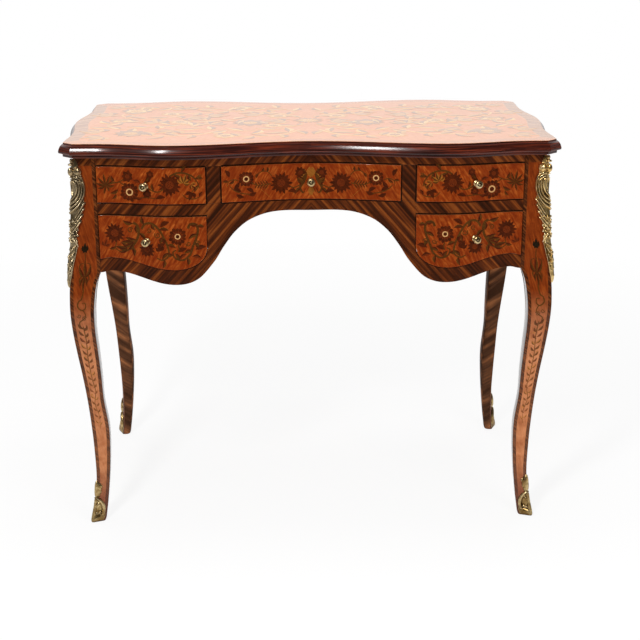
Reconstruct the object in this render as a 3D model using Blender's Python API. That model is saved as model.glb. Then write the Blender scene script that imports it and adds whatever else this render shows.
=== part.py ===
"""Serpentine writing desk on cabriole legs, with five drawers, built as separate joinery pieces.

Metres, +Z up. X runs along the desk, the sitter is on the -Y side, and the origin is on the floor
under the middle of the top. Fronts, backs and ends all follow the same serpentine plan curves.
"""

import math

import bmesh
import bpy
from mathutils import Vector

# Heights, from the top down
DESK_HEIGHT = 0.790
TOP_THICKNESS = 0.027
TOP_RAIL_HEIGHT = 0.018
UPPER_OPENING_HEIGHT = 0.072
MID_RAIL_HEIGHT = 0.023
ARCH_RAIL_HEIGHT = 0.0215
LOBE_DROP = 0.107
HAUNCH_DROP = 0.085
POST_DROP = 0.089
LOBE_CORNER_RISE = 0.042
APRON_BAND = 0.026
LOBE_BAND = 0.029

# Plan of the carcase: half depths of the front, half widths of the ends
CENTRE_FACE_DEPTH = 0.232
BULGE_FACE_DEPTH = 0.272
POST_FACE_DEPTH = 0.249
POST_FACE_REACH = 0.452
END_BULGE = 0.010
POST_WIDTH = 0.0405
KNEE_SWELL = 0.0168

# Where the front's curves turn, measured from the desk's middle
BULGE_X = 0.265
LOBE_X = 0.262
HAUNCH_X = 0.388
DIVIDER_OUTER_X = 0.2005
DIVIDER_WIDTH = 0.028

# Top and its edge moulding
FRONT_OVERHANG = 0.016
CORNER_OVERHANG = 0.014
END_DIP = 0.006
CORNER_CANT = 0.017
MOULDING_LIP = 0.0135

# Boards of the carcase
FRAME_THICKNESS = 0.022
END_THICKNESS = 0.018
PARTITION_THICKNESS = 0.016
SHELF_THICKNESS = 0.008
GUIDE_HEIGHT = 0.012
FLOOR_CLEARANCE = 0.003

# Tenons and fits
JOINT_GAP = 0.0003
TENON_SHOULDER = 0.005
TENON_LENGTH = 0.014
STUB_LENGTH = 0.006
STUB_WALL = 0.002
RUN_GAP = 0.0004
REVEAL = 0.0012
SIDE_CLEARANCE = 0.0008

# Drawers
DRAWER_PROUD = 0.002
SIDE_FRONT_WALL = 0.018
CENTRE_FRONT_WALL = 0.020
BOX_WALL = 0.009
BOX_TOP_CLEARANCE = 0.009
BOX_BACK_CLEARANCE = 0.024
BOX_BACK_INSET = 0.004
BOTTOM_THICKNESS = 0.005
GROOVE_DEPTH = 0.004
GROOVE_RISE = 0.004
TAIL_LENGTH = 0.010
TAIL_ROOT = 0.004
TAIL_FLARE = 0.0015
TAIL_SHARES = (0.35, 0.75)

# Knobs
KNOB_STUD_RADIUS = 0.0022
KNOB_STUD_LENGTH = 0.012
KNOB_FLANGE_RADIUS = 0.0065
KNOB_NECK_RADIUS = 0.0032
KNOB_HEAD_RADIUS = 0.0090
KNOB_PROJECTION = 0.0175
KNOB_SHIFT = 0.010
BORE_CLEARANCE = 0.0004
KNOB_SIDES = 16

# Bronze corner mounts and foot mounts
MOUNT_GAP = 0.0005
MOUNT_EDGE = 0.0010
CHUTE_TOP_GAP = 0.004
CHUTE_DROP = 0.025
CHUTE_REACH = 0.026
CHUTE_THICKNESS = 0.0125
SABOT_HEIGHT = 0.100
SABOT_THICKNESS = 0.0025

# Finish colours
TULIPWOOD = (0.52, 0.17, 0.045)
KINGWOOD = (0.16, 0.062, 0.026)
MAHOGANY = (0.085, 0.018, 0.012)
DRAWER_LINING = (0.46, 0.30, 0.16)
GILT_BRONZE = (0.62, 0.46, 0.20)

# Heights that follow from the sizes above
TOP_UNDERSIDE = DESK_HEIGHT - TOP_THICKNESS
OPENING_TOP = TOP_UNDERSIDE - TOP_RAIL_HEIGHT
OPENING_SILL = OPENING_TOP - UPPER_OPENING_HEIGHT
LOWER_OPENING_TOP = OPENING_SILL - MID_RAIL_HEIGHT
ARCH_CROWN = OPENING_SILL - ARCH_RAIL_HEIGHT
LOBE_Z = LOWER_OPENING_TOP - LOBE_DROP
HAUNCH_Z = LOWER_OPENING_TOP - HAUNCH_DROP
POST_EDGE_Z = LOWER_OPENING_TOP - POST_DROP
KNEE_Z = POST_EDGE_Z - APRON_BAND
FLOOR_TOP = LOBE_Z + LOBE_CORNER_RISE + FLOOR_CLEARANCE
FLOOR_UNDERSIDE = FLOOR_TOP - SHELF_THICKNESS
CHUTE_TOP = TOP_UNDERSIDE - CHUTE_TOP_GAP
CHUTE_BOTTOM = KNEE_Z - CHUTE_DROP

# Plan positions that follow
POST_INNER_X = POST_FACE_REACH - POST_WIDTH
POST_INNER_Y = POST_FACE_DEPTH - POST_WIDTH
DIAGONAL = POST_FACE_REACH - POST_FACE_DEPTH
DIVIDER_INNER_X = DIVIDER_OUTER_X - DIVIDER_WIDTH
PARTITION_INNER_X = DIVIDER_OUTER_X - PARTITION_THICKNESS

# Cabriole pattern: share of the height up to the knee, then as shares of the knee's own sizes: swell
# of the arris past the post's face, width of each outer face, and set-back of the face's inner edge
LEG_SHARES = (
    (0.000, 0.15, 0.475, 0.60),
    (0.023, 0.08, 0.462, 0.57),
    (0.075, -0.18, 0.454, 0.45),
    (0.180, -0.46, 0.475, 0.30),
    (0.290, -0.42, 0.553, 0.25),
    (0.385, -0.28, 0.600, 0.22),
    (0.500, 0.00, 0.566, 0.19),
    (0.600, 0.35, 0.640, 0.16),
    (0.700, 0.77, 0.718, 0.13),
    (0.780, 1.06, 0.757, 0.13),
    (0.855, 1.22, 0.803, 0.20),
    (0.925, 1.18, 0.853, 0.44),
    (0.968, 1.08, 0.904, 0.72),
    (1.000, 1.00, 1.000, 1.00),
)

# Arch over the knees: share of the way from the middle to the lobe, share of the fall to the lobe.
# The last row lies past the lobe and makes the curve level there.
ARCH_SHARES = (
    (0.000, 0.000),
    (0.280, 0.004),
    (0.450, 0.097),
    (0.565, 0.262),
    (0.650, 0.470),
    (0.720, 0.677),
    (0.845, 0.925),
    (1.000, 1.000),
    (1.155, 0.925),
)

# Spacing of the sections that follow the curves
PLAN_SPACING = 0.020
APRON_SPACING = 0.012
TOP_SPACING = 0.030
LOBE_CORNER_STEPS = 6
LEG_STEPS = 22
POST_STEPS = 18
POST_SWELL_START = 0.27
INNER_CHAMFER = 0.006

# Places in the rings of a leg and of a mount where a strip lies on the leg's front or side face
LEG_FRONT_STRIP = (0,)
LEG_SIDE_STRIP = (4,)
PLATE_FRONT_STRIP = (5,)
PLATE_SIDE_STRIP = (4,)

# Edge profile of the moulding: share of the lip going outwards, share of the thickness going down
MOULDING_SHARES = (
    (0.00, 0.00),
    (0.32, 0.00),
    (0.40, 0.06),
    (0.66, 0.12),
    (0.90, 0.26),
    (1.00, 0.46),
    (0.94, 0.64),
    (0.74, 0.76),
    (0.52, 0.80),
    (0.62, 0.90),
    (0.48, 1.00),
    (0.00, 1.00),
)

# Corner mount: share of its height from the top, reach along each face, thickness on the arris
CHUTE_SHARES = (
    (0.00, 0.35, 0.28),
    (0.06, 0.62, 0.92),
    (0.11, 0.62, 1.00),
    (0.16, 0.62, 0.63),
    (0.24, 0.66, 0.34),
    (0.28, 0.76, 0.32),
    (0.35, 1.00, 0.56),
    (0.42, 0.92, 0.61),
    (0.48, 0.80, 0.58),
    (0.56, 0.66, 0.34),
    (0.64, 0.55, 0.22),
    (0.72, 0.42, 0.15),
    (0.82, 0.30, 0.15),
    (0.90, 0.22, 0.21),
    (1.00, 0.12, 0.16),
)

# Foot mount: share of its height, share of the leg's face covered
SABOT_SHARES = ((0.00, 0.96), (0.25, 0.90), (0.50, 0.70), (0.75, 0.42), (1.00, 0.12))


# Curves
def ease(share):
    """An S from 0 to 1, level at both ends."""
    share = min(max(share, 0.0), 1.0)
    return 0.5 - 0.5 * math.cos(math.pi * share)


def smooth(rows, at, column):
    """Value of a column at a place, on a smooth curve through a pattern's rows."""
    last = len(rows) - 1
    i = 0
    while i < last - 1 and rows[i + 1][0] <= at:
        i += 1
    before, low, high, after = (rows[min(max(n, 0), last)] for n in (i - 1, i, i + 1, i + 2))
    span = high[0] - low[0]
    t = (at - low[0]) / span
    slope_low = span * (high[column] - before[column]) / (high[0] - before[0])
    slope_high = span * (after[column] - low[column]) / (after[0] - low[0])
    rise = high[column] - low[column]
    bend = slope_low + slope_high - 2 * rise
    return low[column] + t * (slope_low + t * (3 * rise - 2 * slope_low - slope_high + t * bend))


def face_depth(x):
    """Half depth of the carcase at x: shallow over the knees, full over the side drawers."""
    x = abs(x)
    if x <= BULGE_X:
        return CENTRE_FACE_DEPTH + (BULGE_FACE_DEPTH - CENTRE_FACE_DEPTH) * ease(x / BULGE_X)
    share = (x - BULGE_X) / (POST_INNER_X - BULGE_X)
    return BULGE_FACE_DEPTH + (POST_FACE_DEPTH - BULGE_FACE_DEPTH) * ease(share)


def face_slope(x):
    step = 0.0005
    return (face_depth(x + step) - face_depth(x - step)) / (2 * step)


def shallowest(places):
    """Least half depth of the carcase over some places, where a drawer front is thinnest."""
    return min(face_depth(x) for x in places)


def end_reach(y):
    """Half width of the carcase at y: the ends swell between the posts."""
    return POST_FACE_REACH + END_BULGE * (1 - ease(abs(y) / POST_INNER_Y))


def lower_drawer_edge(x):
    """Lower edge of the lower drawers' openings."""
    x = abs(x)
    if x <= LOBE_X:
        across = min((LOBE_X - x) / (LOBE_X - DIVIDER_OUTER_X), 1.0)
        return LOBE_Z + LOBE_CORNER_RISE * (1 - math.sqrt(1 - across * across))
    if x <= HAUNCH_X:
        return LOBE_Z + (HAUNCH_Z - LOBE_Z) * ease((x - LOBE_X) / (HAUNCH_X - LOBE_X))
    return HAUNCH_Z + (POST_EDGE_Z - HAUNCH_Z) * ease((x - HAUNCH_X) / (POST_INNER_X - HAUNCH_X))


def apron_edge(x):
    """Lower edge of the front and back: an arch over the knees and a lobe under each pedestal."""
    x = abs(x)
    if x >= LOBE_X:
        band = LOBE_BAND + (APRON_BAND - LOBE_BAND) * ease((x - LOBE_X) / (HAUNCH_X - LOBE_X))
        return lower_drawer_edge(x) - band
    lobe = LOBE_Z - LOBE_BAND
    return ARCH_CROWN + (lobe - ARCH_CROWN) * smooth(ARCH_SHARES, x / LOBE_X, 1)


def end_edge(y):
    """Lower edge of the end panels: one lobe between the knees."""
    lobe = LOBE_Z - APRON_BAND
    return lobe + (KNEE_Z - lobe) * ease(abs(y) / POST_INNER_Y)


def stations(start, stop, spacing, turns=()):
    """Places from start to stop, evenly spaced between the turns that fall inside."""
    marks = [start, *sorted(t for t in turns if start < t < stop), stop]
    places = [start]
    for low, high in zip(marks, marks[1:]):
        count = max(1, round((high - low) / spacing))
        places += [low + (high - low) * n / count for n in range(1, count + 1)]
    return places


def lobe_turns():
    """Places round the quarter ellipse at the lower drawers' inner corners."""
    angles = [math.pi / 2 * n / LOBE_CORNER_STEPS for n in range(LOBE_CORNER_STEPS + 1)]
    return [LOBE_X - (LOBE_X - DIVIDER_OUTER_X) * math.cos(angle) for angle in angles]


PLAN_TURNS = [s * x for s in (-1, 1) for x in (DIVIDER_OUTER_X, BULGE_X, HAUNCH_X)] + [0]
LOBE_TURNS = [s * x for s in (-1, 1) for x in lobe_turns()]


# Building blocks
def material(name, colour, roughness, metallic=0.0):
    made = bpy.data.materials.new(name)
    made.use_nodes = True
    shader = made.node_tree.nodes["Principled BSDF"]
    shader.inputs["Base Color"].default_value = (*colour, 1.0)
    shader.inputs["Roughness"].default_value = roughness
    shader.inputs["Metallic"].default_value = metallic
    return made


def to_object(name, bm, finish, parent=None):
    """Closes a mesh with its faces pointing out and puts it in the scene."""
    bmesh.ops.recalc_face_normals(bm, faces=bm.faces)
    mesh = bpy.data.meshes.new(name)
    bm.to_mesh(mesh)
    bm.free()
    if finish:
        mesh.materials.append(finish)
    made = bpy.data.objects.new(name, mesh)
    made.parent = parent
    bpy.context.scene.collection.objects.link(made)
    return made


def add_loft(bm, rings, rising=(), falling=()):
    """A closed skin over rings of points, with a cap at each end. Returns the two caps.

    Twisted strips are split into triangles along the diagonal that rises or falls round the ring,
    so that a skin laid over another bends on the safe side of it.
    """
    rows = [[bm.verts.new(point) for point in ring] for ring in rings]
    count = len(rows[0])
    for low, high in zip(rows, rows[1:]):
        for i in range(count):
            j = (i + 1) % count
            face = bm.faces.new((low[i], low[j], high[j], high[i]))
            if i in rising:
                bmesh.ops.triangulate(bm, faces=[face], quad_method="FIXED")
            elif i in falling:
                bmesh.ops.triangulate(bm, faces=[face], quad_method="ALTERNATE")
    return bm.faces.new(rows[0]), bm.faces.new(rows[-1])


def loft(name, rings, finish, parent=None, rising=(), falling=()):
    bm = bmesh.new()
    add_loft(bm, rings, rising, falling)
    return to_object(name, bm, finish, parent)


def add_box(bm, low, high):
    (x0, y0, z0), (x1, y1, z1) = low, high
    outline = ((x0, y0), (x1, y0), (x1, y1), (x0, y1))
    add_loft(bm, [[(x, y, z) for x, y in outline] for z in (z0, z1)])


def box(name, low, high, finish, parent=None):
    bm = bmesh.new()
    add_box(bm, low, high)
    return to_object(name, bm, finish, parent)


def slab(name, outline, low, high, finish):
    """A level board cut to an outline in plan."""
    return loft(name, [[(x, y, z) for x, y in outline] for z in (low, high)], finish)


def add_tenon(bm, cap, length):
    """A tenon on the end of a rail, with a shoulder all round."""
    bmesh.ops.recalc_face_normals(bm, faces=bm.faces)
    bmesh.ops.inset_individual(bm, faces=[cap], thickness=TENON_SHOULDER, use_even_offset=True)
    out = cap.normal.copy()
    made = bmesh.ops.extrude_face_region(bm, geom=[cap])["geom"]
    bmesh.ops.delete(bm, geom=[cap], context="FACES_ONLY")
    points = [v for v in made if isinstance(v, bmesh.types.BMVert)]
    bmesh.ops.translate(bm, verts=points, vec=out * length)


def cutter(name, bm):
    """A hidden shape that cuts its neighbours."""
    made = to_object(name, bm, None)
    made.hide_render = True
    made.display_type = "WIRE"
    return made


def cut(target, tool):
    step = target.modifiers.new("cut", "BOOLEAN")
    step.operation = "DIFFERENCE"
    step.solver = "EXACT"
    step.object = tool


def add_pocket(bm, low, high):
    """A mortise for a tenon with these corners, with the joint's gap all round."""
    gap = Vector((JOINT_GAP,) * 3)
    add_box(bm, Vector(low) - gap, Vector(high) + gap)


# Boards that follow the serpentine plan
def front_rail(places, low, high, facing=-1):
    """A rail across the front or back, as rings along x. Returns the mesh and its end caps."""
    rings = []
    for x in places:
        outer = facing * face_depth(x)
        inner = facing * (face_depth(x) - FRAME_THICKNESS)
        rings.append([(x, outer, low(x)), (x, inner, low(x)), (x, inner, high(x)), (x, outer, high(x))])
    bm = bmesh.new()
    return bm, add_loft(bm, rings)


def level(height):
    return lambda x: height


def rail_span():
    """Ends of a rail that meets the posts on both sides."""
    return -POST_INNER_X + JOINT_GAP, POST_INNER_X - JOINT_GAP


def make_front_top_rail(finish):
    places = stations(*rail_span(), PLAN_SPACING, PLAN_TURNS)
    top = TOP_UNDERSIDE - JOINT_GAP
    bm, caps = front_rail(places, level(OPENING_TOP), level(top))
    for cap in caps:
        add_tenon(bm, cap, TENON_LENGTH)
    rail = to_object("front_top_rail", bm, finish)
    pockets = bmesh.new()
    for side in (-1, 1):
        add_pocket(pockets, *divider_stub(side, OPENING_TOP, 1))
    cut(rail, cutter("front_top_rail_mortises", pockets))


def make_mid_rails(finish):
    for side, hand in ((-1, "left"), (1, "right")):
        inner = DIVIDER_OUTER_X + JOINT_GAP
        outer = POST_INNER_X - JOINT_GAP
        places = [side * x for x in stations(inner, outer, PLAN_SPACING, (BULGE_X,))]
        bm, caps = front_rail(places, level(LOWER_OPENING_TOP), level(OPENING_SILL))
        add_tenon(bm, caps[0], STUB_LENGTH)
        add_tenon(bm, caps[1], TENON_LENGTH)
        to_object(f"mid_rail_{hand}", bm, finish)


def divider_section():
    """Plan corners of a right-hand divider, from the inner front corner round."""
    inner, outer = DIVIDER_INNER_X, DIVIDER_OUTER_X
    corners = [(x, -face_depth(x)) for x in (inner, outer)]
    return corners + [(x, FRAME_THICKNESS - face_depth(x)) for x in (outer, inner)]


def divider_stub(side, at, way, root=0.0):
    """Corners of the stub tenon on a divider's end: at is the end's height, way is up or down."""
    section = divider_section()
    front = max(y for x, y in section[:2]) + TENON_SHOULDER
    back = min(y for x, y in section[2:]) - TENON_SHOULDER
    shoulder = STUB_LENGTH + STUB_WALL
    ends = sorted(side * x for x in (DIVIDER_INNER_X + shoulder, DIVIDER_OUTER_X - shoulder))
    heights = sorted((at - way * root, at + way * STUB_LENGTH))
    return (ends[0], front, heights[0]), (ends[1], back, heights[1])


def make_dividers(finish):
    """Stiles between the middle drawer and the side drawers, with a stub tenon at each end."""
    for side, hand in ((-1, "left"), (1, "right")):
        low, high = OPENING_SILL + JOINT_GAP, OPENING_TOP - JOINT_GAP
        body = [[(side * x, y, z) for x, y in divider_section()] for z in (low, high)]
        bm = bmesh.new()
        add_loft(bm, body)
        stubs = bmesh.new()
        for at, way in ((low, -1), (high, 1)):
            add_box(stubs, *divider_stub(side, at, way, root=STUB_LENGTH))
        divider = to_object(f"front_divider_{hand}", bm, finish)
        join = divider.modifiers.new("stubs", "BOOLEAN")
        join.operation = "UNION"
        join.solver = "EXACT"
        join.object = cutter(f"front_divider_{hand}_stubs", stubs)


def apron_top(x):
    """Top of the apron: level under the middle drawer, scooped out for the lower drawers."""
    return OPENING_SILL if abs(x) <= DIVIDER_OUTER_X else lower_drawer_edge(x)


def make_front_apron(finish):
    """The shaped lower rail, in one piece from post to post."""
    start, stop = rail_span()
    steps = [s * (DIVIDER_OUTER_X + RUN_GAP) for s in (-1, 1)]
    places = stations(start, stop, APRON_SPACING, PLAN_TURNS + LOBE_TURNS + steps)
    bm, caps = front_rail(places, apron_edge, apron_top)
    for cap in caps:
        add_tenon(bm, cap, TENON_LENGTH)
    apron = to_object("front_apron", bm, finish)
    pockets = bmesh.new()
    for side in (-1, 1):
        add_pocket(pockets, *divider_stub(side, OPENING_SILL, -1))
        add_pocket(pockets, *mid_rail_stub(side))
    cut(apron, cutter("front_apron_mortises", pockets))


def mid_rail_stub(side):
    """Corners of the stub tenon on a mid rail's inner end, which enters the apron's shoulder."""
    depth = face_depth(DIVIDER_OUTER_X)
    ends = sorted((side * DIVIDER_OUTER_X, side * (DIVIDER_OUTER_X - STUB_LENGTH)))
    low = (ends[0], TENON_SHOULDER - depth, LOWER_OPENING_TOP + TENON_SHOULDER)
    high = (ends[1], FRAME_THICKNESS - TENON_SHOULDER - depth, OPENING_SILL - TENON_SHOULDER)
    return low, high


def make_back_panel(finish):
    """The back, with the same arch and lobes as the front."""
    places = stations(*rail_span(), APRON_SPACING, PLAN_TURNS)
    top = TOP_UNDERSIDE - JOINT_GAP
    bm, caps = front_rail(places, apron_edge, level(top), facing=1)
    for cap in caps:
        add_tenon(bm, cap, TENON_LENGTH)
    to_object("back_panel", bm, finish)


def make_end_panels(finish):
    for side, hand in ((-1, "left"), (1, "right")):
        reach = POST_INNER_Y - JOINT_GAP
        rings = []
        for y in stations(-reach, reach, PLAN_SPACING, (0,)):
            outer = side * end_reach(y)
            inner = side * (end_reach(y) - END_THICKNESS)
            low, high = end_edge(y), TOP_UNDERSIDE - JOINT_GAP
            rings.append([(outer, y, low), (inner, y, low), (inner, y, high), (outer, y, high)])
        bm = bmesh.new()
        for cap in add_loft(bm, rings):
            add_tenon(bm, cap, TENON_LENGTH)
        to_object(f"end_panel_{hand}", bm, finish)


# Legs
def post_swell(z):
    """Swell of the arris on the corner post, from the knee up to the top."""
    share = (TOP_UNDERSIDE - z) / (TOP_UNDERSIDE - KNEE_Z)
    return KNEE_SWELL * ease((share - POST_SWELL_START) / (1 - POST_SWELL_START))


def leg_shape(z):
    """Half width at the arris, half width at the face's inner edge, and that edge's set-back."""
    if z >= KNEE_Z:
        swell = post_swell(z)
        return POST_FACE_REACH + swell, POST_INNER_X, swell
    swell, width, back = (smooth(LEG_SHARES, z / KNEE_Z, column) for column in (1, 2, 3))
    arris = POST_FACE_REACH + KNEE_SWELL * swell
    return arris, arris - (POST_WIDTH + KNEE_SWELL) * width, KNEE_SWELL * back


def leg_ring(z):
    """Section of a leg in its own corner: x and depth, both counted outwards from the middle."""
    arris, inner, back = leg_shape(z)
    depth = arris - DIAGONAL
    inner_depth = inner - DIAGONAL
    return [
        (arris, depth),
        (inner, depth - back),
        (inner, inner_depth + INNER_CHAMFER),
        (inner + INNER_CHAMFER, inner_depth),
        (arris - back, inner_depth),
    ]


def leg_heights():
    """Heights of a leg's sections, with one at each end of the mounts that follow its arris."""
    shank = [KNEE_Z * n / LEG_STEPS for n in range(LEG_STEPS)]
    post = [KNEE_Z + (TOP_UNDERSIDE - JOINT_GAP - KNEE_Z) * n / POST_STEPS for n in range(POST_STEPS + 1)]
    return sorted([*shank, *post, SABOT_HEIGHT, CHUTE_BOTTOM, CHUTE_TOP])


CORNERS = (
    (-1, -1, "front_left"),
    (1, -1, "front_right"),
    (-1, 1, "back_left"),
    (1, 1, "back_right"),
)


def add_post_mortise(bm, side, facing, low, high):
    """Mortise for a tenon on a front or back rail that is low to high at the post."""
    ends = sorted((side * (POST_INNER_X - TENON_LENGTH), side * (POST_INNER_X + TENON_LENGTH)))
    depths = sorted(
        facing * (POST_FACE_DEPTH - inset) for inset in (TENON_SHOULDER, FRAME_THICKNESS - TENON_SHOULDER)
    )
    near = (ends[0], depths[0], low + TENON_SHOULDER)
    add_pocket(bm, near, (ends[1], depths[1], high - TENON_SHOULDER))


def add_end_mortise(bm, side, facing):
    """Mortise for the long tenon on an end panel."""
    reaches = sorted(
        side * (POST_FACE_REACH - inset) for inset in (TENON_SHOULDER, END_THICKNESS - TENON_SHOULDER)
    )
    depths = sorted((facing * (POST_INNER_Y - TENON_LENGTH), facing * (POST_INNER_Y + TENON_LENGTH)))
    near = (reaches[0], depths[0], end_edge(POST_INNER_Y) + TENON_SHOULDER)
    add_pocket(bm, near, (reaches[1], depths[1], TOP_UNDERSIDE - TENON_SHOULDER))


def make_legs(finish):
    """Four cabriole legs, each in one piece with its corner post."""
    knee_edge = apron_edge(POST_INNER_X)
    for side, facing, corner in CORNERS:
        rings = [[(side * x, facing * depth, z) for x, depth in leg_ring(z)] for z in leg_heights()]
        leg = loft(f"leg_{corner}", rings, finish, rising=LEG_SIDE_STRIP, falling=LEG_FRONT_STRIP)
        pockets = bmesh.new()
        if facing < 0:
            add_post_mortise(pockets, side, facing, OPENING_TOP, TOP_UNDERSIDE)
            add_post_mortise(pockets, side, facing, LOWER_OPENING_TOP, OPENING_SILL)
            add_post_mortise(pockets, side, facing, knee_edge, apron_top(POST_INNER_X))
        else:
            add_post_mortise(pockets, side, facing, knee_edge, TOP_UNDERSIDE)
        add_end_mortise(pockets, side, facing)
        cut(leg, cutter(f"leg_{corner}_mortises", pockets))


# Bronze mounts
def arris_plate(z, reach, thickness):
    """Ring of a bronze plate folded over a leg's arris: reach along each face, thick on the arris."""
    ring = leg_ring(z)
    arris, front = Vector(ring[0]), Vector(ring[1])
    along = (front - arris).normalized()
    out = Vector((along.y, -along.x))
    if out.y < 0:
        out = -out
    to_arris = Vector((1, 1)).normalized()
    seat = arris + to_arris * (MOUNT_GAP / to_arris.dot(out))
    crest = seat + Vector((thickness, thickness))
    inner_end = seat + along * reach
    outer_end = inner_end + out * MOUNT_EDGE
    half = [inner_end, outer_end]
    other = [Vector((p.y + DIAGONAL, p.x - DIAGONAL)) for p in half]
    return [half[0], half[1], crest, other[1], other[0], seat]


def folded_plate(name, rings, side, facing, finish):
    """A mount on one corner, whose two seats bend clear of the leg's twisted faces."""
    placed = [[(side * p.x, facing * p.y, z) for p in ring] for z, ring in rings]
    loft(name, placed, finish, rising=PLATE_FRONT_STRIP, falling=PLATE_SIDE_STRIP)


def make_chutes(finish):
    """Cast mounts down the four corner posts, over the knees."""
    rings = []
    for z in (z for z in leg_heights() if CHUTE_BOTTOM <= z <= CHUTE_TOP):
        share = (CHUTE_TOP - z) / (CHUTE_TOP - CHUTE_BOTTOM)
        reach = CHUTE_REACH * smooth(CHUTE_SHARES, share, 1)
        rings.append((z, arris_plate(z, reach, CHUTE_THICKNESS * smooth(CHUTE_SHARES, share, 2))))
    for side, facing, corner in CORNERS:
        folded_plate(f"corner_mount_{corner}", rings, side, facing, finish)


def make_sabots(finish):
    """Cast shoes round the outer faces of the feet, rising to a point on the arris."""
    rings = []
    for z in (z for z in leg_heights() if z <= SABOT_HEIGHT):
        arris, inner, back = leg_shape(z)
        cover = smooth(SABOT_SHARES, z / SABOT_HEIGHT, 1)
        rings.append((z, arris_plate(z, math.hypot(arris - inner, back) * cover, SABOT_THICKNESS)))
    for side, facing, corner in CORNERS:
        folded_plate(f"sabot_{corner}", rings, side, facing, finish)


# Inside of the carcase
def inner_depth(x, facing):
    """Face of a shelf's edge against the frame or the back panel."""
    return facing * (face_depth(x) - FRAME_THICKNESS - JOINT_GAP)


def make_partitions(finish):
    """Boards between the kneehole and each pedestal, from the front frame to the back panel."""
    for side, hand in ((-1, "left"), (1, "right")):
        places = (PARTITION_INNER_X, DIVIDER_OUTER_X)
        outline = [(side * x, inner_depth(x, -1)) for x in places]
        outline += [(side * x, inner_depth(x, 1)) for x in reversed(places)]
        slab(f"partition_{hand}", outline, FLOOR_UNDERSIDE, TOP_UNDERSIDE - JOINT_GAP, finish)


def pedestal_outline(side, front):
    """A shelf between the partition and the end panel, notched round the posts."""
    inner = DIVIDER_OUTER_X + JOINT_GAP
    outer = POST_INNER_X - JOINT_GAP
    notch = POST_INNER_Y - JOINT_GAP
    places = stations(inner, outer, PLAN_SPACING, (BULGE_X,))
    along = stations(-notch, notch, PLAN_SPACING, (0,))
    edge = [(end_reach(y) - END_THICKNESS - JOINT_GAP, y) for y in along]
    outline = [(x, front(x)) for x in places]
    outline += [(outer, -notch), *edge, (outer, notch)]
    outline += [(x, inner_depth(x, 1)) for x in reversed(places)]
    return [(side * x, y) for x, y in outline]


def make_shelves(finish):
    """Dust boards that the side drawers run on."""
    for side, hand in ((-1, "left"), (1, "right")):
        shelf = pedestal_outline(side, lambda x: inner_depth(x, -1))
        slab(f"drawer_shelf_{hand}", shelf, OPENING_SILL - SHELF_THICKNESS, OPENING_SILL, finish)
        front_inside = SIDE_FRONT_WALL - shallowest((DIVIDER_OUTER_X, BULGE_X, POST_INNER_X))
        floor = pedestal_outline(side, level(front_inside + REVEAL))
        slab(f"pedestal_floor_{hand}", floor, FLOOR_UNDERSIDE, FLOOR_TOP, finish)


def make_soffit(finish):
    """Board over the knees that the middle drawer runs on, with a guide rib along each side."""
    outer = PARTITION_INNER_X - JOINT_GAP
    rib = DIVIDER_INNER_X
    places = [-outer, *stations(-rib - RUN_GAP, rib + RUN_GAP, PLAN_SPACING, (-rib, 0, rib)), outer]
    rings = []
    for x in places:
        top = OPENING_SILL + (GUIDE_HEIGHT if abs(x) > rib else 0.0)
        low = OPENING_SILL - SHELF_THICKNESS
        front, back = inner_depth(x, -1), inner_depth(x, 1)
        rings.append([(x, front, low), (x, back, low), (x, back, top), (x, front, top)])
    loft("kneehole_soffit", rings, finish)


# Top
def overhang(x):
    """How far the veneered top stands past the front, less at the corners than over the drawers."""
    share = (abs(x) - BULGE_X) / (POST_FACE_REACH - CORNER_CANT - BULGE_X)
    return FRONT_OVERHANG + (CORNER_OVERHANG - FRONT_OVERHANG) * ease(share)


def top_outline():
    """Outline of the veneered top, anticlockwise seen from above, with canted corners."""
    corner_x = POST_FACE_REACH + CORNER_OVERHANG - CORNER_CANT
    corner_y = POST_FACE_DEPTH + CORNER_OVERHANG - CORNER_CANT
    front = [(x, face_depth(x) + overhang(x)) for x in stations(0, corner_x, TOP_SPACING, (BULGE_X,))]
    end = []
    for y in stations(0, corner_y, TOP_SPACING):
        dip = END_DIP * math.sin(math.pi * y / corner_y) ** 2
        end.append((end_reach(y) + CORNER_OVERHANG - dip, y))
    quarter = end + list(reversed(front))
    half = quarter[:-1] + [(-x, y) for x, y in reversed(quarter)]
    return half[:-1] + [(-x, -y) for x, y in half[:-1]]


def outward(outline):
    """Unit step from each point of an anticlockwise outline to a parallel outline outside it."""
    steps = []
    for i, here in enumerate(outline):
        point = Vector(here)
        sides = []
        for other, turn in ((outline[i - 1], 1), (outline[(i + 1) % len(outline)], -1)):
            along = (point - Vector(other)) * turn
            sides.append(Vector((along.y, -along.x)).normalized())
        middle = (sides[0] + sides[1]).normalized()
        steps.append(middle / middle.dot(sides[0]))
    return steps


def make_top(board_finish, moulding_finish):
    """The veneered board, and the moulded edging round it in one loop."""
    outline = top_outline()
    slab("top_board", outline, TOP_UNDERSIDE, DESK_HEIGHT, board_finish)
    steps = outward(outline)
    bm = bmesh.new()
    loops = []
    for share_out, share_down in MOULDING_SHARES:
        out = JOINT_GAP + MOULDING_LIP * share_out
        z = DESK_HEIGHT - TOP_THICKNESS * share_down
        edge = [Vector(point) + step * out for point, step in zip(outline, steps)]
        loops.append([bm.verts.new((point.x, point.y, z)) for point in edge])
    count = len(outline)
    for here, there in zip(loops, loops[1:] + loops[:1]):
        for i in range(count):
            j = (i + 1) % count
            bm.faces.new((here[i], here[j], there[j], there[i]))
    to_object("top_moulding", bm, moulding_finish)


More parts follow.
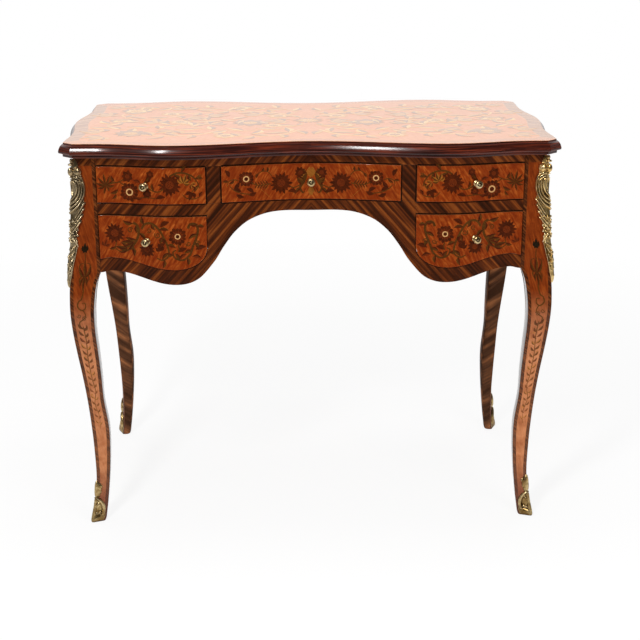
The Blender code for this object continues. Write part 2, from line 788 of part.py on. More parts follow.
# Drawers
class Drawer:
    """One drawer: its opening, the inside face of its front, its box and its knob."""

    def __init__(self, name, left, right, low, top, wall, sill, turns):
        self.name = name
        self.left, self.right = left + REVEAL, right - REVEAL
        self.low, self.top = low, top - REVEAL
        places = stations(self.left, self.right, PLAN_SPACING, PLAN_TURNS + turns)
        self.places = places
        self.inside = wall - shallowest(places)
        self.box_low = sill + RUN_GAP
        self.box_high = top - BOX_TOP_CLEARANCE
        self.rear = shallowest(places) - FRAME_THICKNESS - BOX_BACK_CLEARANCE
        middle = (left + right) / 2
        self.knob_x = middle + math.copysign(KNOB_SHIFT, middle) if middle else middle
        self.knob_z = (low(self.knob_x) + top) / 2

    def side_face(self, side):
        """Outer face of a drawer side."""
        return self.right - SIDE_CLEARANCE if side > 0 else self.left + SIDE_CLEARANCE

    def tail_heights(self):
        return [self.box_low + (self.box_high - self.box_low) * share for share in TAIL_SHARES]

    def bottom_low(self):
        return self.box_low + GROOVE_RISE


def tail_outline(drawer, middle, gap):
    """Half-blind dovetail on a drawer side, as depth and height: narrow at the root, wide inside."""
    root, tip = TAIL_ROOT + gap, TAIL_ROOT + TAIL_FLARE + gap
    inside = drawer.inside + gap
    end = drawer.inside - TAIL_LENGTH - gap
    return [(inside, middle - root), (end, middle - tip), (end, middle + tip), (inside, middle + root)]


def make_drawer_front(drawer, finish, parent):
    """Front with a serpentine face and a flat inside, socketed for the sides, grooved and bored."""
    rings = []
    for x in drawer.places:
        low = drawer.low(math.copysign(abs(x) - REVEAL, x)) + REVEAL
        outer, inner, top = -face_depth(x) - DRAWER_PROUD, drawer.inside, drawer.top
        rings.append([(x, outer, low), (x, inner, low), (x, inner, top), (x, outer, top)])
    front = loft(f"{drawer.name}_front", rings, finish, parent)
    tools = bmesh.new()
    for side in (-1, 1):
        face = drawer.side_face(side)
        deep = face - side * (BOX_WALL + JOINT_GAP)
        beyond = face + side * BOX_WALL
        for middle in drawer.tail_heights():
            outline = tail_outline(drawer, middle, JOINT_GAP)
            add_loft(tools, [[(x, y, z) for y, z in outline] for x in sorted((deep, beyond))])
    near, far = bottom_corners(drawer)
    add_pocket(tools, near, (far[0], drawer.inside + GROOVE_DEPTH, far[2]))
    centre, out = knob_seat(drawer)
    bore = KNOB_STUD_RADIUS + BORE_CLEARANCE
    depth = KNOB_STUD_LENGTH + BORE_CLEARANCE
    add_loft(tools, [circle(centre + out * along, out, bore) for along in (-depth, depth)])
    cut(front, cutter(f"{drawer.name}_front_cuts", tools))


def bottom_corners(drawer):
    """Corners of the drawer bottom, which sits in grooves in the front and both sides."""
    reach = BOX_WALL - GROOVE_DEPTH + JOINT_GAP
    low = drawer.bottom_low()
    near = (drawer.side_face(-1) + reach, drawer.inside - GROOVE_DEPTH + JOINT_GAP, low)
    return near, (drawer.side_face(1) - reach, drawer.rear, low + BOTTOM_THICKNESS)


def make_drawer_box(drawer, finish, parent):
    """Two sides with dovetails, a back between them and a bottom in their grooves."""
    near, far = bottom_corners(drawer)
    start = drawer.inside + JOINT_GAP
    for side, hand in ((-1, "left"), (1, "right")):
        face = drawer.side_face(side)
        outline = [(start, drawer.box_high), (drawer.rear, drawer.box_high), (drawer.rear, drawer.box_low)]
        outline.append((start, drawer.box_low))
        for middle in drawer.tail_heights():
            tail = tail_outline(drawer, middle, 0.0)
            outline += [(start, tail[0][1]), tail[1], tail[2], (start, tail[3][1])]
        ends = (face, face - side * BOX_WALL)
        rings = [[(x, y, z) for y, z in outline] for x in ends]
        wall = loft(f"{drawer.name}_side_{hand}", rings, finish, parent)
        groove = bmesh.new()
        beyond = Vector((0, BOX_WALL, 0))
        add_pocket(groove, Vector(near) - beyond, Vector(far) + beyond)
        cut(wall, cutter(f"{drawer.name}_side_{hand}_groove", groove))
    box(f"{drawer.name}_bottom", near, far, finish, parent)
    inner = BOX_WALL + JOINT_GAP
    back_low = (drawer.side_face(-1) + inner, drawer.rear - BOX_BACK_INSET - BOX_WALL, far[2] + JOINT_GAP)
    back_high = (drawer.side_face(1) - inner, drawer.rear - BOX_BACK_INSET, drawer.box_high)
    box(f"{drawer.name}_back", back_low, back_high, finish, parent)


def knob_seat(drawer):
    """Point on the drawer's face under the knob, and the direction that the knob stands in."""
    x = drawer.knob_x
    centre = Vector((x, -face_depth(x) - DRAWER_PROUD, drawer.knob_z))
    return centre, Vector((-face_slope(x), -1, 0)).normalized()


def circle(centre, axis, radius):
    across = axis.cross(Vector((0, 0, 1))).normalized()
    up = across.cross(axis)
    turns = [2 * math.pi * n / KNOB_SIDES for n in range(KNOB_SIDES)]
    return [centre + radius * (math.cos(a) * across + math.sin(a) * up) for a in turns]


def make_knob(drawer, finish, parent):
    """Turned brass knob: a stud in the drawer front, a flange, a neck and a dished head."""
    centre, out = knob_seat(drawer)
    head, tall = KNOB_HEAD_RADIUS, KNOB_PROJECTION
    profile = (
        (KNOB_STUD_RADIUS, -KNOB_STUD_LENGTH),
        (KNOB_STUD_RADIUS, MOUNT_GAP),
        (KNOB_FLANGE_RADIUS, MOUNT_GAP),
        (KNOB_FLANGE_RADIUS, MOUNT_GAP + 0.08 * tall),
        (KNOB_NECK_RADIUS, 0.25 * tall),
        (KNOB_NECK_RADIUS, 0.45 * tall),
        (0.86 * head, 0.62 * tall),
        (head, 0.78 * tall),
        (0.82 * head, 0.96 * tall),
        (0.62 * head, 0.88 * tall),
        (0.30 * head, tall),
    )
    rings = [circle(centre + out * along, out, radius) for radius, along in profile]
    knob = loft(f"{drawer.name}_knob", rings, finish, parent)
    knob.data.shade_smooth()
    knob.data.set_sharp_from_angle(angle=math.radians(40))


def all_drawers():
    sides = []
    for side, hand in ((-1, "left"), (1, "right")):
        ends = sorted((side * DIVIDER_OUTER_X, side * POST_INNER_X))
        name, wall = f"upper_{hand}_drawer", SIDE_FRONT_WALL
        sides.append(Drawer(name, *ends, level(OPENING_SILL), OPENING_TOP, wall, OPENING_SILL, []))
        name, turns = f"lower_{hand}_drawer", LOBE_TURNS
        sides.append(Drawer(name, *ends, lower_drawer_edge, LOWER_OPENING_TOP, wall, FLOOR_TOP, turns))
    ends, wall = (-DIVIDER_INNER_X, DIVIDER_INNER_X), CENTRE_FRONT_WALL
    middle = Drawer("middle_drawer", *ends, level(OPENING_SILL), OPENING_TOP, wall, OPENING_SILL, [])
    return [middle, *sides]


def make_drawers(front_finish, box_finish, knob_finish):
    for drawer in all_drawers():
        slide = bpy.data.objects.new(f"{drawer.name}_slide", None)
        bpy.context.scene.collection.objects.link(slide)
        make_drawer_front(drawer, front_finish, slide)
        make_drawer_box(drawer, box_finish, slide)
        make_knob(drawer, knob_finish, slide)


def main():
    for old in list(bpy.data.objects):
        bpy.data.objects.remove(old)
    tulipwood = material("tulipwood_veneer", TULIPWOOD, 0.25)
    kingwood = material("kingwood_veneer", KINGWOOD, 0.28)
    mahogany = material("mahogany_moulding", MAHOGANY, 0.18)
    lining = material("drawer_lining", DRAWER_LINING, 0.6)
    bronze = material("gilt_bronze", GILT_BRONZE, 0.35, 1.0)
    make_top(tulipwood, mahogany)
    make_legs(tulipwood)
    make_front_top_rail(kingwood)
    make_dividers(kingwood)
    make_mid_rails(kingwood)
    make_front_apron(kingwood)
    make_back_panel(kingwood)
    make_end_panels(kingwood)
    make_partitions(lining)
    make_shelves(lining)
    make_soffit(lining)
    make_chutes(bronze)
    make_sabots(bronze)
    make_drawers(tulipwood, lining, bronze)


main()
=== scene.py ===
import math

import bmesh
import bpy
from mathutils import Matrix, Vector


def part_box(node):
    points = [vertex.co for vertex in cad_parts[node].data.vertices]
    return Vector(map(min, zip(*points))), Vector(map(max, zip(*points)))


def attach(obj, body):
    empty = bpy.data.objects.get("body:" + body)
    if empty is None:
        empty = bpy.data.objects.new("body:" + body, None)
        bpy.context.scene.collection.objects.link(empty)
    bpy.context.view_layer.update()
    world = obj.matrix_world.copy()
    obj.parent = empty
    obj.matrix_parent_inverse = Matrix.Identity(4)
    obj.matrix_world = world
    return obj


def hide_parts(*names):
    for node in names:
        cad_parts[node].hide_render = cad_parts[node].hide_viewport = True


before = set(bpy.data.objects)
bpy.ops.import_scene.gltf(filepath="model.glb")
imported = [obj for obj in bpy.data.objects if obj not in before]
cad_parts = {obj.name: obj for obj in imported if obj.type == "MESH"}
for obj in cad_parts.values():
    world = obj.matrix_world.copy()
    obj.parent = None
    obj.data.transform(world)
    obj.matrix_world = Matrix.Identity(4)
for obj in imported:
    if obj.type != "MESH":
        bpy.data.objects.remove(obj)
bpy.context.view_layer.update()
print("frame loaded with", len(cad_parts), "nodes")

desk = {
    "height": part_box("top_board")[1].z,
    "topUnderside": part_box("top_board")[0].z,
    "openingTop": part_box("front_top_rail")[0].z,
    "openingSill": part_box("mid_rail_left")[1].z,
    "lowerOpeningTop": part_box("mid_rail_left")[0].z,
    "archCrown": 0.6515,
    "lobeZ": 0.543,
    "haunchZ": 0.565,
    "postEdgeZ": 0.561,
    "kneeZ": 0.535,
    "lobeRise": 0.042,  # rounding of the lobe towards the divider
    "apronBand": 0.026,
    "lobeBand": 0.029,
    "centreDepth": 0.232,
    "bulgeDepth": 0.272,
    "postDepth": 0.249,
    "postReach": 0.452,
    "postInnerX": 0.4115,
    "postInnerY": 0.2085,
    "endBulge": 0.010,
    "kneeSwell": 0.0168,
    "postSwellStart": 0.27,  # share of the post's height that stays straight
    "kneeWidth": 0.0573,
    "innerChamfer": 0.006,
    "bulgeX": 0.265,
    "lobeX": 0.262,
    "haunchX": 0.388,
    "dividerOuterX": 0.2005,
    "dividerInnerX": 0.1725,
    "frameThickness": 0.022,
    "endThickness": 0.018,
    "reveal": 0.0012,
    "proud": 0.002,
}
archShares = (
    (0, 0), (.28, .004), (.45, .097), (.565, .262), (.65, .470), (.72, .677), (.845, .925), (1, 1), (1.155, .925),
)
legShares = (  # height, swell of the arris, width, set-back of the inner edges
    (0, .15, .475, .60), (.023, .08, .462, .57), (.075, -.18, .454, .45), (.18, -.46, .475, .30),
    (.29, -.42, .553, .25), (.385, -.28, .600, .22), (.5, 0, .566, .19), (.6, .35, .640, .16),
    (.7, .77, .718, .13), (.78, 1.06, .757, .13), (.855, 1.22, .803, .20), (.925, 1.18, .853, .44),
    (.968, 1.08, .904, .72), (1, 1, 1, 1),
)
sides = {"left": -1, "right": 1}
corners = [
    (end + "_" + name, facing, side)
    for end, facing in (("front", -1), ("back", 1)) for name, side in sides.items()
]


def ease(share):
    share = min(max(share, 0.0), 1.0)
    return 0.5 - 0.5 * math.cos(math.pi * share)


def between(low, high, share):
    return low + (high - low) * share


def curveThrough(rows, at, column):
    at = min(max(at, rows[0][0]), rows[-1][0])
    place = next(i for i in range(len(rows) - 1) if at <= rows[i + 1][0])
    low, high = rows[place], rows[place + 1]
    before, after = rows[max(place - 1, 0)], rows[min(place + 2, len(rows) - 1)]
    step = high[0] - low[0]
    leaving = (high[column] - before[column]) / (high[0] - before[0]) * step
    arriving = (after[column] - low[column]) / (after[0] - low[0]) * step
    t = (at - low[0]) / step
    return ((2 * t ** 3 - 3 * t ** 2 + 1) * low[column] + (t ** 3 - 2 * t ** 2 + t) * leaving
            + (3 * t ** 2 - 2 * t ** 3) * high[column] + (t ** 3 - t ** 2) * arriving)


def faceDepth(x):
    x = abs(x)
    if x <= desk["bulgeX"]:
        return between(desk["centreDepth"], desk["bulgeDepth"], ease(x / desk["bulgeX"]))
    return between(desk["bulgeDepth"], desk["postDepth"],
        ease((x - desk["bulgeX"]) / (desk["postInnerX"] - desk["bulgeX"])))


def faceSlope(x, step=1e-4):
    return (faceDepth(x + step) - faceDepth(x - step)) / (2 * step)


def endReach(y):
    return desk["postReach"] + desk["endBulge"] * (1 - ease(abs(y) / desk["postInnerY"]))


def lowerDrawerEdge(x):
    x = abs(x)
    if x <= desk["lobeX"]:
        across = min((desk["lobeX"] - x) / (desk["lobeX"] - desk["dividerOuterX"]), 1.0)
        return desk["lobeZ"] + desk["lobeRise"] * (1 - math.sqrt(1 - across ** 2))
    if x <= desk["haunchX"]:
        return between(desk["lobeZ"], desk["haunchZ"], ease((x - desk["lobeX"]) / (desk["haunchX"] - desk["lobeX"])))
    return between(desk["haunchZ"], desk["postEdgeZ"],
        ease((x - desk["haunchX"]) / (desk["postInnerX"] - desk["haunchX"])))


def apronEdge(x):
    x = abs(x)
    if x >= desk["lobeX"]:
        band = between(desk["lobeBand"], desk["apronBand"],
            ease((x - desk["lobeX"]) / (desk["haunchX"] - desk["lobeX"])))
        return lowerDrawerEdge(x) - band
    return between(desk["archCrown"], desk["lobeZ"] - desk["lobeBand"], curveThrough(archShares, x / desk["lobeX"], 1))


def endEdge(y):
    return between(desk["lobeZ"] - desk["apronBand"], desk["kneeZ"], ease(abs(y) / desk["postInnerY"]))


def legShape(z):
    if z >= desk["kneeZ"]:
        share = (desk["topUnderside"] - z) / (desk["topUnderside"] - desk["kneeZ"])
        swell = desk["kneeSwell"] * ease((share - desk["postSwellStart"]) / (1 - desk["postSwellStart"]))
        return desk["postReach"] + swell, desk["postInnerX"], swell
    swell, width, back = (curveThrough(legShares, z / desk["kneeZ"], column) for column in (1, 2, 3))
    arris = desk["postReach"] + desk["kneeSwell"] * swell
    return arris, arris - desk["kneeWidth"] * width, desk["kneeSwell"] * back


def legRing(z):
    arris, inner, back = legShape(z)
    shift = desk["postReach"] - desk["postDepth"]
    chamfer = desk["innerChamfer"]
    return [
        Vector((arris, arris - shift)), Vector((inner, arris - shift - back)),
        Vector((inner, inner - shift + chamfer)), Vector((inner + chamfer, inner - shift)),
        Vector((arris - back, inner - shift)),
    ]


def stations(low, high, spacing):
    count = max(1, math.ceil((high - low) / spacing))
    return [between(low, high, i / count) for i in range(count + 1)]


def paint(colour):  # screen colour to linear light
    shares = (value / 255 for value in colour)
    return tuple((c / 12.92 if c <= .04045 else ((c + .055) / 1.055) ** 2.4) for c in shares) + (1.0,)


def plug(tree, socket, value):
    if isinstance(value, bpy.types.NodeSocket):
        tree.links.new(value, socket)
    else:
        socket.default_value = value


def addNode(tree, kind, inputs=None, **settings):
    made = tree.nodes.new(kind)
    for key, value in settings.items():
        setattr(made, key, value)
    for key, value in (inputs or {}).items():
        plug(tree, made.inputs[key], value)
    return made


def calc(tree, operation, *values):
    made = addNode(tree, "ShaderNodeMath", operation=operation)
    for socket, value in zip(made.inputs, values):
        plug(tree, socket, value)
    return made.outputs[0]


def blend(tree, share, low, high, mode="MIX"):
    made = addNode(tree, "ShaderNodeMix", data_type="RGBA", blend_type=mode)
    for index, value in ((0, share), (6, low), (7, high)):
        plug(tree, made.inputs[index], value)
    return made.outputs[2]


def stain(tree, colour, share, amount, other):
    return blend(tree, calc(tree, "MULTIPLY", share, amount), colour, other)


def ramp(tree, share, stops):
    made = addNode(tree, "ShaderNodeValToRGB", {"Fac": share})
    cells = made.color_ramp.elements
    cells[0].position, cells[1].position = stops[0][0], stops[-1][0]
    cells[0].color, cells[1].color = paint(stops[0][1]), paint(stops[-1][1])
    for position, colour in stops[1:-1]:
        cells.new(position).color = paint(colour)
    return made.outputs["Color"]


def spread(tree, value, low, high, newLow=0.0, newHigh=1.0):
    inputs = {"Value": value, "From Min": low, "From Max": high, "To Min": newLow, "To Max": newHigh}
    return addNode(tree, "ShaderNodeMapRange", inputs).outputs[0]


def noise(tree, vector, scale, detail=2.0, roughness=.5, distortion=0.0):
    inputs = {"Vector": vector, "Scale": scale, "Detail": detail, "Roughness": roughness, "Distortion": distortion}
    return addNode(tree, "ShaderNodeTexNoise", inputs).outputs[0]


def joinAxes(tree, *values):
    return addNode(tree, "ShaderNodeCombineXYZ", dict(enumerate(values))).outputs[0]


def newGroup(name, inputs, outputs):
    group = bpy.data.node_groups.new(name, "ShaderNodeTree")
    for label, kind, value in inputs:
        socket = group.interface.new_socket(label, in_out="INPUT", socket_type=kind)
        if value is not None:
            socket.default_value = value
    for label, kind in outputs:
        group.interface.new_socket(label, in_out="OUTPUT", socket_type=kind)
    return group, group.nodes.new("NodeGroupInput").outputs, group.nodes.new("NodeGroupOutput")


def useGroup(tree, group, inputs):
    return addNode(tree, "ShaderNodeGroup", inputs, node_tree=group).outputs


figureLook = {
    "fineAcross": 6.0, "fineAlong": 2.5, "fineSeed": 7.3, "mottleScale": 46.0, "fineHeight": .6, "stripeHeight": .4,
}


def makeFigureGroup():
    group, given, result = newGroup("woodFigure", (
        ("Vector", "NodeSocketVector", None), ("Angle", "NodeSocketFloat", 0.0), ("Mirror", "NodeSocketFloat", 0.0),
        ("Width", "NodeSocketFloat", .008), ("Length", "NodeSocketFloat", .15), ("Seed", "NodeSocketFloat", 0.0),
    ), [(label, "NodeSocketFloat") for label in ("Stripe", "Fine", "Mottle", "Height")])
    parts = addNode(group, "ShaderNodeSeparateXYZ", {0: given["Vector"]}).outputs
    fold = calc(group, "SUBTRACT", calc(group, "ABSOLUTE", parts[0]), parts[0])
    u = calc(group, "MULTIPLY_ADD", fold, given["Mirror"], parts[0])  # book-matched about the middle where Mirror is 1
    sine, cosine = calc(group, "SINE", given["Angle"]), calc(group, "COSINE", given["Angle"])
    across = calc(group, "ADD", calc(group, "MULTIPLY", u, sine), calc(group, "MULTIPLY", parts[1], cosine))
    along = calc(group, "SUBTRACT", calc(group, "MULTIPLY", u, cosine), calc(group, "MULTIPLY", parts[1], sine))
    a = calc(group, "DIVIDE", across, given["Width"])
    b = calc(group, "DIVIDE", along, given["Length"])
    fineAt = joinAxes(group, calc(group, "MULTIPLY", a, figureLook["fineAcross"]),
        calc(group, "MULTIPLY", b, figureLook["fineAlong"]),
        calc(group, "ADD", given["Seed"], figureLook["fineSeed"]))
    stripe = noise(group, joinAxes(group, a, b, given["Seed"]), 1.0, 3.0, .55, .30)
    fine = noise(group, fineAt, 1.0, 2.0, .6)
    mottle = noise(group, joinAxes(group, u, parts[1], given["Seed"]), figureLook["mottleScale"], 3.0, .55, .6)
    height = calc(group, "MULTIPLY_ADD", fine, figureLook["fineHeight"],
        calc(group, "MULTIPLY", stripe, figureLook["stripeHeight"]))
    for label, value in (("Stripe", stripe), ("Fine", fine), ("Mottle", mottle), ("Height", height)):
        plug(group, result.inputs[label], value)
    return group


polishLook = {"cloudScale": 7.0, "rubScale": 90.0, "cloudShare": .65, "rubShare": .35}


def makePolishGroup():
    group, given, result = newGroup("rubbedPolish", (
        ("Vector", "NodeSocketVector", None), ("Roughness", "NodeSocketFloat", .3), ("Amount", "NodeSocketFloat", .1),
    ), (("Roughness", "NodeSocketFloat"),))
    cloud = noise(group, given["Vector"], polishLook["cloudScale"], 4.0, .6, .6)
    rub = noise(group, given["Vector"], polishLook["rubScale"], 2.0, .6)
    haze = calc(group, "MULTIPLY_ADD", rub, polishLook["rubShare"],
        calc(group, "MULTIPLY", cloud, polishLook["cloudShare"]))
    rough = calc(group, "MULTIPLY_ADD", calc(group, "SUBTRACT", haze, .5), given["Amount"], given["Roughness"])
    plug(group, result.inputs["Roughness"], rough)
    return group


edgeLook = {"edgeBreakupScale": 140.0, "edgeBreakup": (.35, .6), "hollow": (.495, .455)}


# Edge marks convex edges, which the materials lighten as rubbed wear and as a painted highlight; Hollow marks hollows,
# which the bronzes darken as grime and painted shade
def makeEdgeGroup():
    group, given, result = newGroup("rubbedAndHighlightedEdges", (
        ("Vector", "NodeSocketVector", None), ("Low", "NodeSocketFloat", .5), ("High", "NodeSocketFloat", .6),
    ), (("Edge", "NodeSocketFloat"), ("Hollow", "NodeSocketFloat")))
    point = addNode(group, "ShaderNodeNewGeometry").outputs["Pointiness"]
    edgeBreakup = noise(group, given["Vector"], edgeLook["edgeBreakupScale"], 3.0, .6)
    edge = spread(group, point, given["Low"], given["High"])
    plug(group, result.inputs["Edge"], calc(group, "MULTIPLY", edge, spread(group, edgeBreakup, *edgeLook["edgeBreakup"])))
    plug(group, result.inputs["Hollow"], spread(group, point, *edgeLook["hollow"]))
    return group


figureGroup = makeFigureGroup()
polishGroup = makePolishGroup()
edgeGroup = makeEdgeGroup()


def clearTree(owner):
    owner.use_nodes = True
    owner.node_tree.nodes.clear()
    return owner.node_tree


def newMaterial(name):
    material = bpy.data.materials.new(name)
    tree = clearTree(material)
    out = addNode(tree, "ShaderNodeOutputMaterial")
    place = addNode(tree, "ShaderNodeTexCoord").outputs["Object"]
    return material, tree, out, place


def finishSurface(tree, out, colour, roughness, height, spec):
    bump = addNode(tree, "ShaderNodeBump", {"Height": height, "Strength": spec["bump"], "Distance": spec["bumpDepth"]})
    inputs = {"Base Color": colour, "Roughness": roughness, "Normal": bump.outputs[0], **spec["shader"]}
    shader = addNode(tree, "ShaderNodeBsdfPrincipled", inputs)
    plug(tree, out.inputs["Surface"], shader.outputs[0])


woodLook = {  # what every wood has, unless its own entry says otherwise
    "mirror": 0.0, "seed": 0.0, "low": .34, "high": .66, "bumpDepth": .0004, "rub": .22,
    "wearAndHighlightLow": .53, "wearAndHighlightHigh": .62, "fineRange": (.42, .72), "mottleRange": (.35, .7),
    "floorLightRange": (.32, .68), "floorLightMottle": .55, "floorLightStripe": .45,
}
# boards kept from the frame: axis that skews, skew, axis across, axis along
boardGrain = {"y": (2, 1.7, 0, 1), "x": (1, .6, 2, 0)}


def woodMaterial(name, kind):
    spec = {**woodLook, **kind}
    material, tree, out, place = newMaterial(name)
    parts = addNode(tree, "ShaderNodeSeparateXYZ", {0: place}).outputs
    if "runs" in spec:
        skewed, skew, across, along = boardGrain[spec["runs"]]
        source = joinAxes(tree, calc(tree, "MULTIPLY_ADD", parts[skewed], skew, parts[across]), parts[along])
    else:
        source = addNode(tree, "ShaderNodeUVMap", uv_map="grain").outputs[0]
    figure = useGroup(tree, figureGroup, {
        "Vector": source, "Angle": math.radians(spec["angle"]), "Mirror": spec["mirror"],
        "Width": spec["width"], "Length": spec["length"], "Seed": spec["seed"]})
    stripe = spread(tree, figure["Stripe"], spec["low"], spec["high"])
    colour = ramp(tree, stripe, spec["stops"])
    for label, effect in (("Fine", "fine"), ("Mottle", "mottle")):
        share = spread(tree, figure[label], *spec[effect + "Range"])
        colour = stain(tree, colour, share, spec[effect], paint(spec[effect + "Colour"]))
    if "islandTint" in spec:  # every piece of the marquetry is its own cut of wood
        luck = addNode(tree, "ShaderNodeNewGeometry").outputs["Random Per Island"]
        colour = stain(tree, colour, luck, spec["islandTint"], paint(spec["tintColour"]))
    if "fade" in spec:  # painted light: lighter towards the feet, as lit and glared from the floor
        low, high, amount, dull, pale = spec["fade"]
        cloud = spread(tree, figure["Mottle"], *spec["floorLightRange"])
        share = calc(tree, "MULTIPLY_ADD", cloud, spec["floorLightMottle"],
            calc(tree, "MULTIPLY", stripe, spec["floorLightStripe"]))
        litTone = blend(tree, share, paint(dull), paint(pale))
        colour = stain(tree, colour, spread(tree, parts[2], high, low), amount, litTone)
    if "foot" in spec:  # painted shade beside the foot mounts
        low, high, amount, grimeAndShade = spec["foot"]
        colour = stain(tree, colour, spread(tree, parts[2], high, low), amount, paint(grimeAndShade))
    # lighter edges: rubbed wear, and a painted highlight along them
    edges = useGroup(tree, edgeGroup, {"Vector": place, "Low": spec["wearAndHighlightLow"], "High": spec["wearAndHighlightHigh"]})
    colour = stain(tree, colour, edges["Edge"], spec["edge"], paint(spec["edgeColour"]))
    polish = useGroup(tree, polishGroup, {"Vector": place, "Roughness": spec["roughness"], "Amount": spec["rub"]})
    finishSurface(tree, out, colour, polish["Roughness"], figure["Height"], spec)
    return material


bronzeLook = {  # what every bronze has, unless its own entry says otherwise
    "tarnishScale": 55.0, "tarnishRange": (.3, .7), "speckScale": 900.0, "speckHeight": .5,
    "wearAndHighlightLow": .505, "wearAndHighlightHigh": .545, "grimeShadeReach": .006, "grimeShadeRange": (.85, .35), "grimeRough": .2,
    "hollow": .84, "edge": .6, "roughLow": .28, "bump": .12, "bumpDepth": .0003, "shader": {"Metallic": 1.0},
}


def bronzeMaterial(name, kind):
    spec = {**bronzeLook, **kind}
    material, tree, out, place = newMaterial(name)
    tarnish = noise(tree, place, spec["tarnishScale"], 4.0, .62, .5)
    speck = noise(tree, place, spec["speckScale"], 2.0, .6)
    edges = useGroup(tree, edgeGroup, {"Vector": place, "Low": spec["wearAndHighlightLow"], "High": spec["wearAndHighlightHigh"]})
    # grime and painted shade in the hollows, from pointiness and ambient occlusion
    shade = addNode(tree, "ShaderNodeAmbientOcclusion", {"Distance": spec["grimeShadeReach"]}, samples=8).outputs["AO"]
    grimeAndShade = calc(tree, "MAXIMUM", edges["Hollow"], spread(tree, shade, *spec["grimeShadeRange"]))
    colour = ramp(tree, spread(tree, tarnish, *spec["tarnishRange"]), spec["stops"])
    colour = stain(tree, colour, grimeAndShade, spec["hollow"], paint(spec["hollowColour"]))
    # lighter ridges and edges: rubbed gilding, and a painted highlight
    colour = stain(tree, colour, edges["Edge"], spec["edge"], paint(spec["edgeColour"]))
    if "foot" in spec:  # worn dull at the toe
        low, high, amount, dull = spec["foot"]
        height = addNode(tree, "ShaderNodeSeparateXYZ", {0: place}).outputs[2]
        colour = stain(tree, colour, spread(tree, height, high, low), amount, paint(dull))
    polish = spread(tree, tarnish, *spec["tarnishRange"], spec["roughLow"], spec["roughHigh"])
    rough = calc(tree, "ADD", polish, calc(tree, "MULTIPLY", grimeAndShade, spec["grimeRough"]))
    finishSurface(tree, out, colour, rough, calc(tree, "MULTIPLY_ADD", speck, spec["speckHeight"], tarnish), spec)
    return material


lacquer = {"Coat Weight": .16, "Coat Roughness": .06, "Specular IOR Level": .08}
tulip = {
    "width": .0042, "length": .022, "angle": 60, "mirror": 1.0, "low": .28, "high": .72,
    "stops": ((0, (86, 26, 2)), (.45, (121, 47, 7)), (1, (162, 84, 30))),
    "fine": .30, "fineColour": (90, 30, 4), "mottle": .80, "mottleColour": (96, 30, 3),
    "roughness": .34, "bump": .12, "shader": lacquer, "edge": .6, "edgeColour": (200, 130, 86),
}
kingwood = {
    "width": .0078, "length": .24, "angle": 48, "mirror": 1.0, "low": .35, "high": .65,
    "stops": ((0, (32, 12, 3)), (.35, (54, 22, 6)), (.62, (82, 36, 9)), (1, (116, 59, 20))),
    "fine": .42, "fineColour": (42, 17, 5), "mottle": .22, "mottleColour": (62, 26, 7),
    "roughness": .36, "bump": .12, "shader": lacquer, "edge": .5, "edgeColour": (150, 94, 52),
}
glossy = {**lacquer, "Coat Weight": .85, "Coat Roughness": .06}
bareWax = {"Specular IOR Level": .02}
board = {
    "width": .005, "length": .25, "angle": 90,
    "stops": ((0, (150, 108, 66)), (.5, (176, 134, 86)), (1, (196, 158, 108))),
    "fine": .35, "fineColour": (126, 86, 50), "mottle": .3, "mottleColour": (160, 116, 70),
    "roughness": .62, "bump": .25, "shader": {"Specular IOR Level": .35}, "edge": .25, "edgeColour": (206, 172, 126),
}
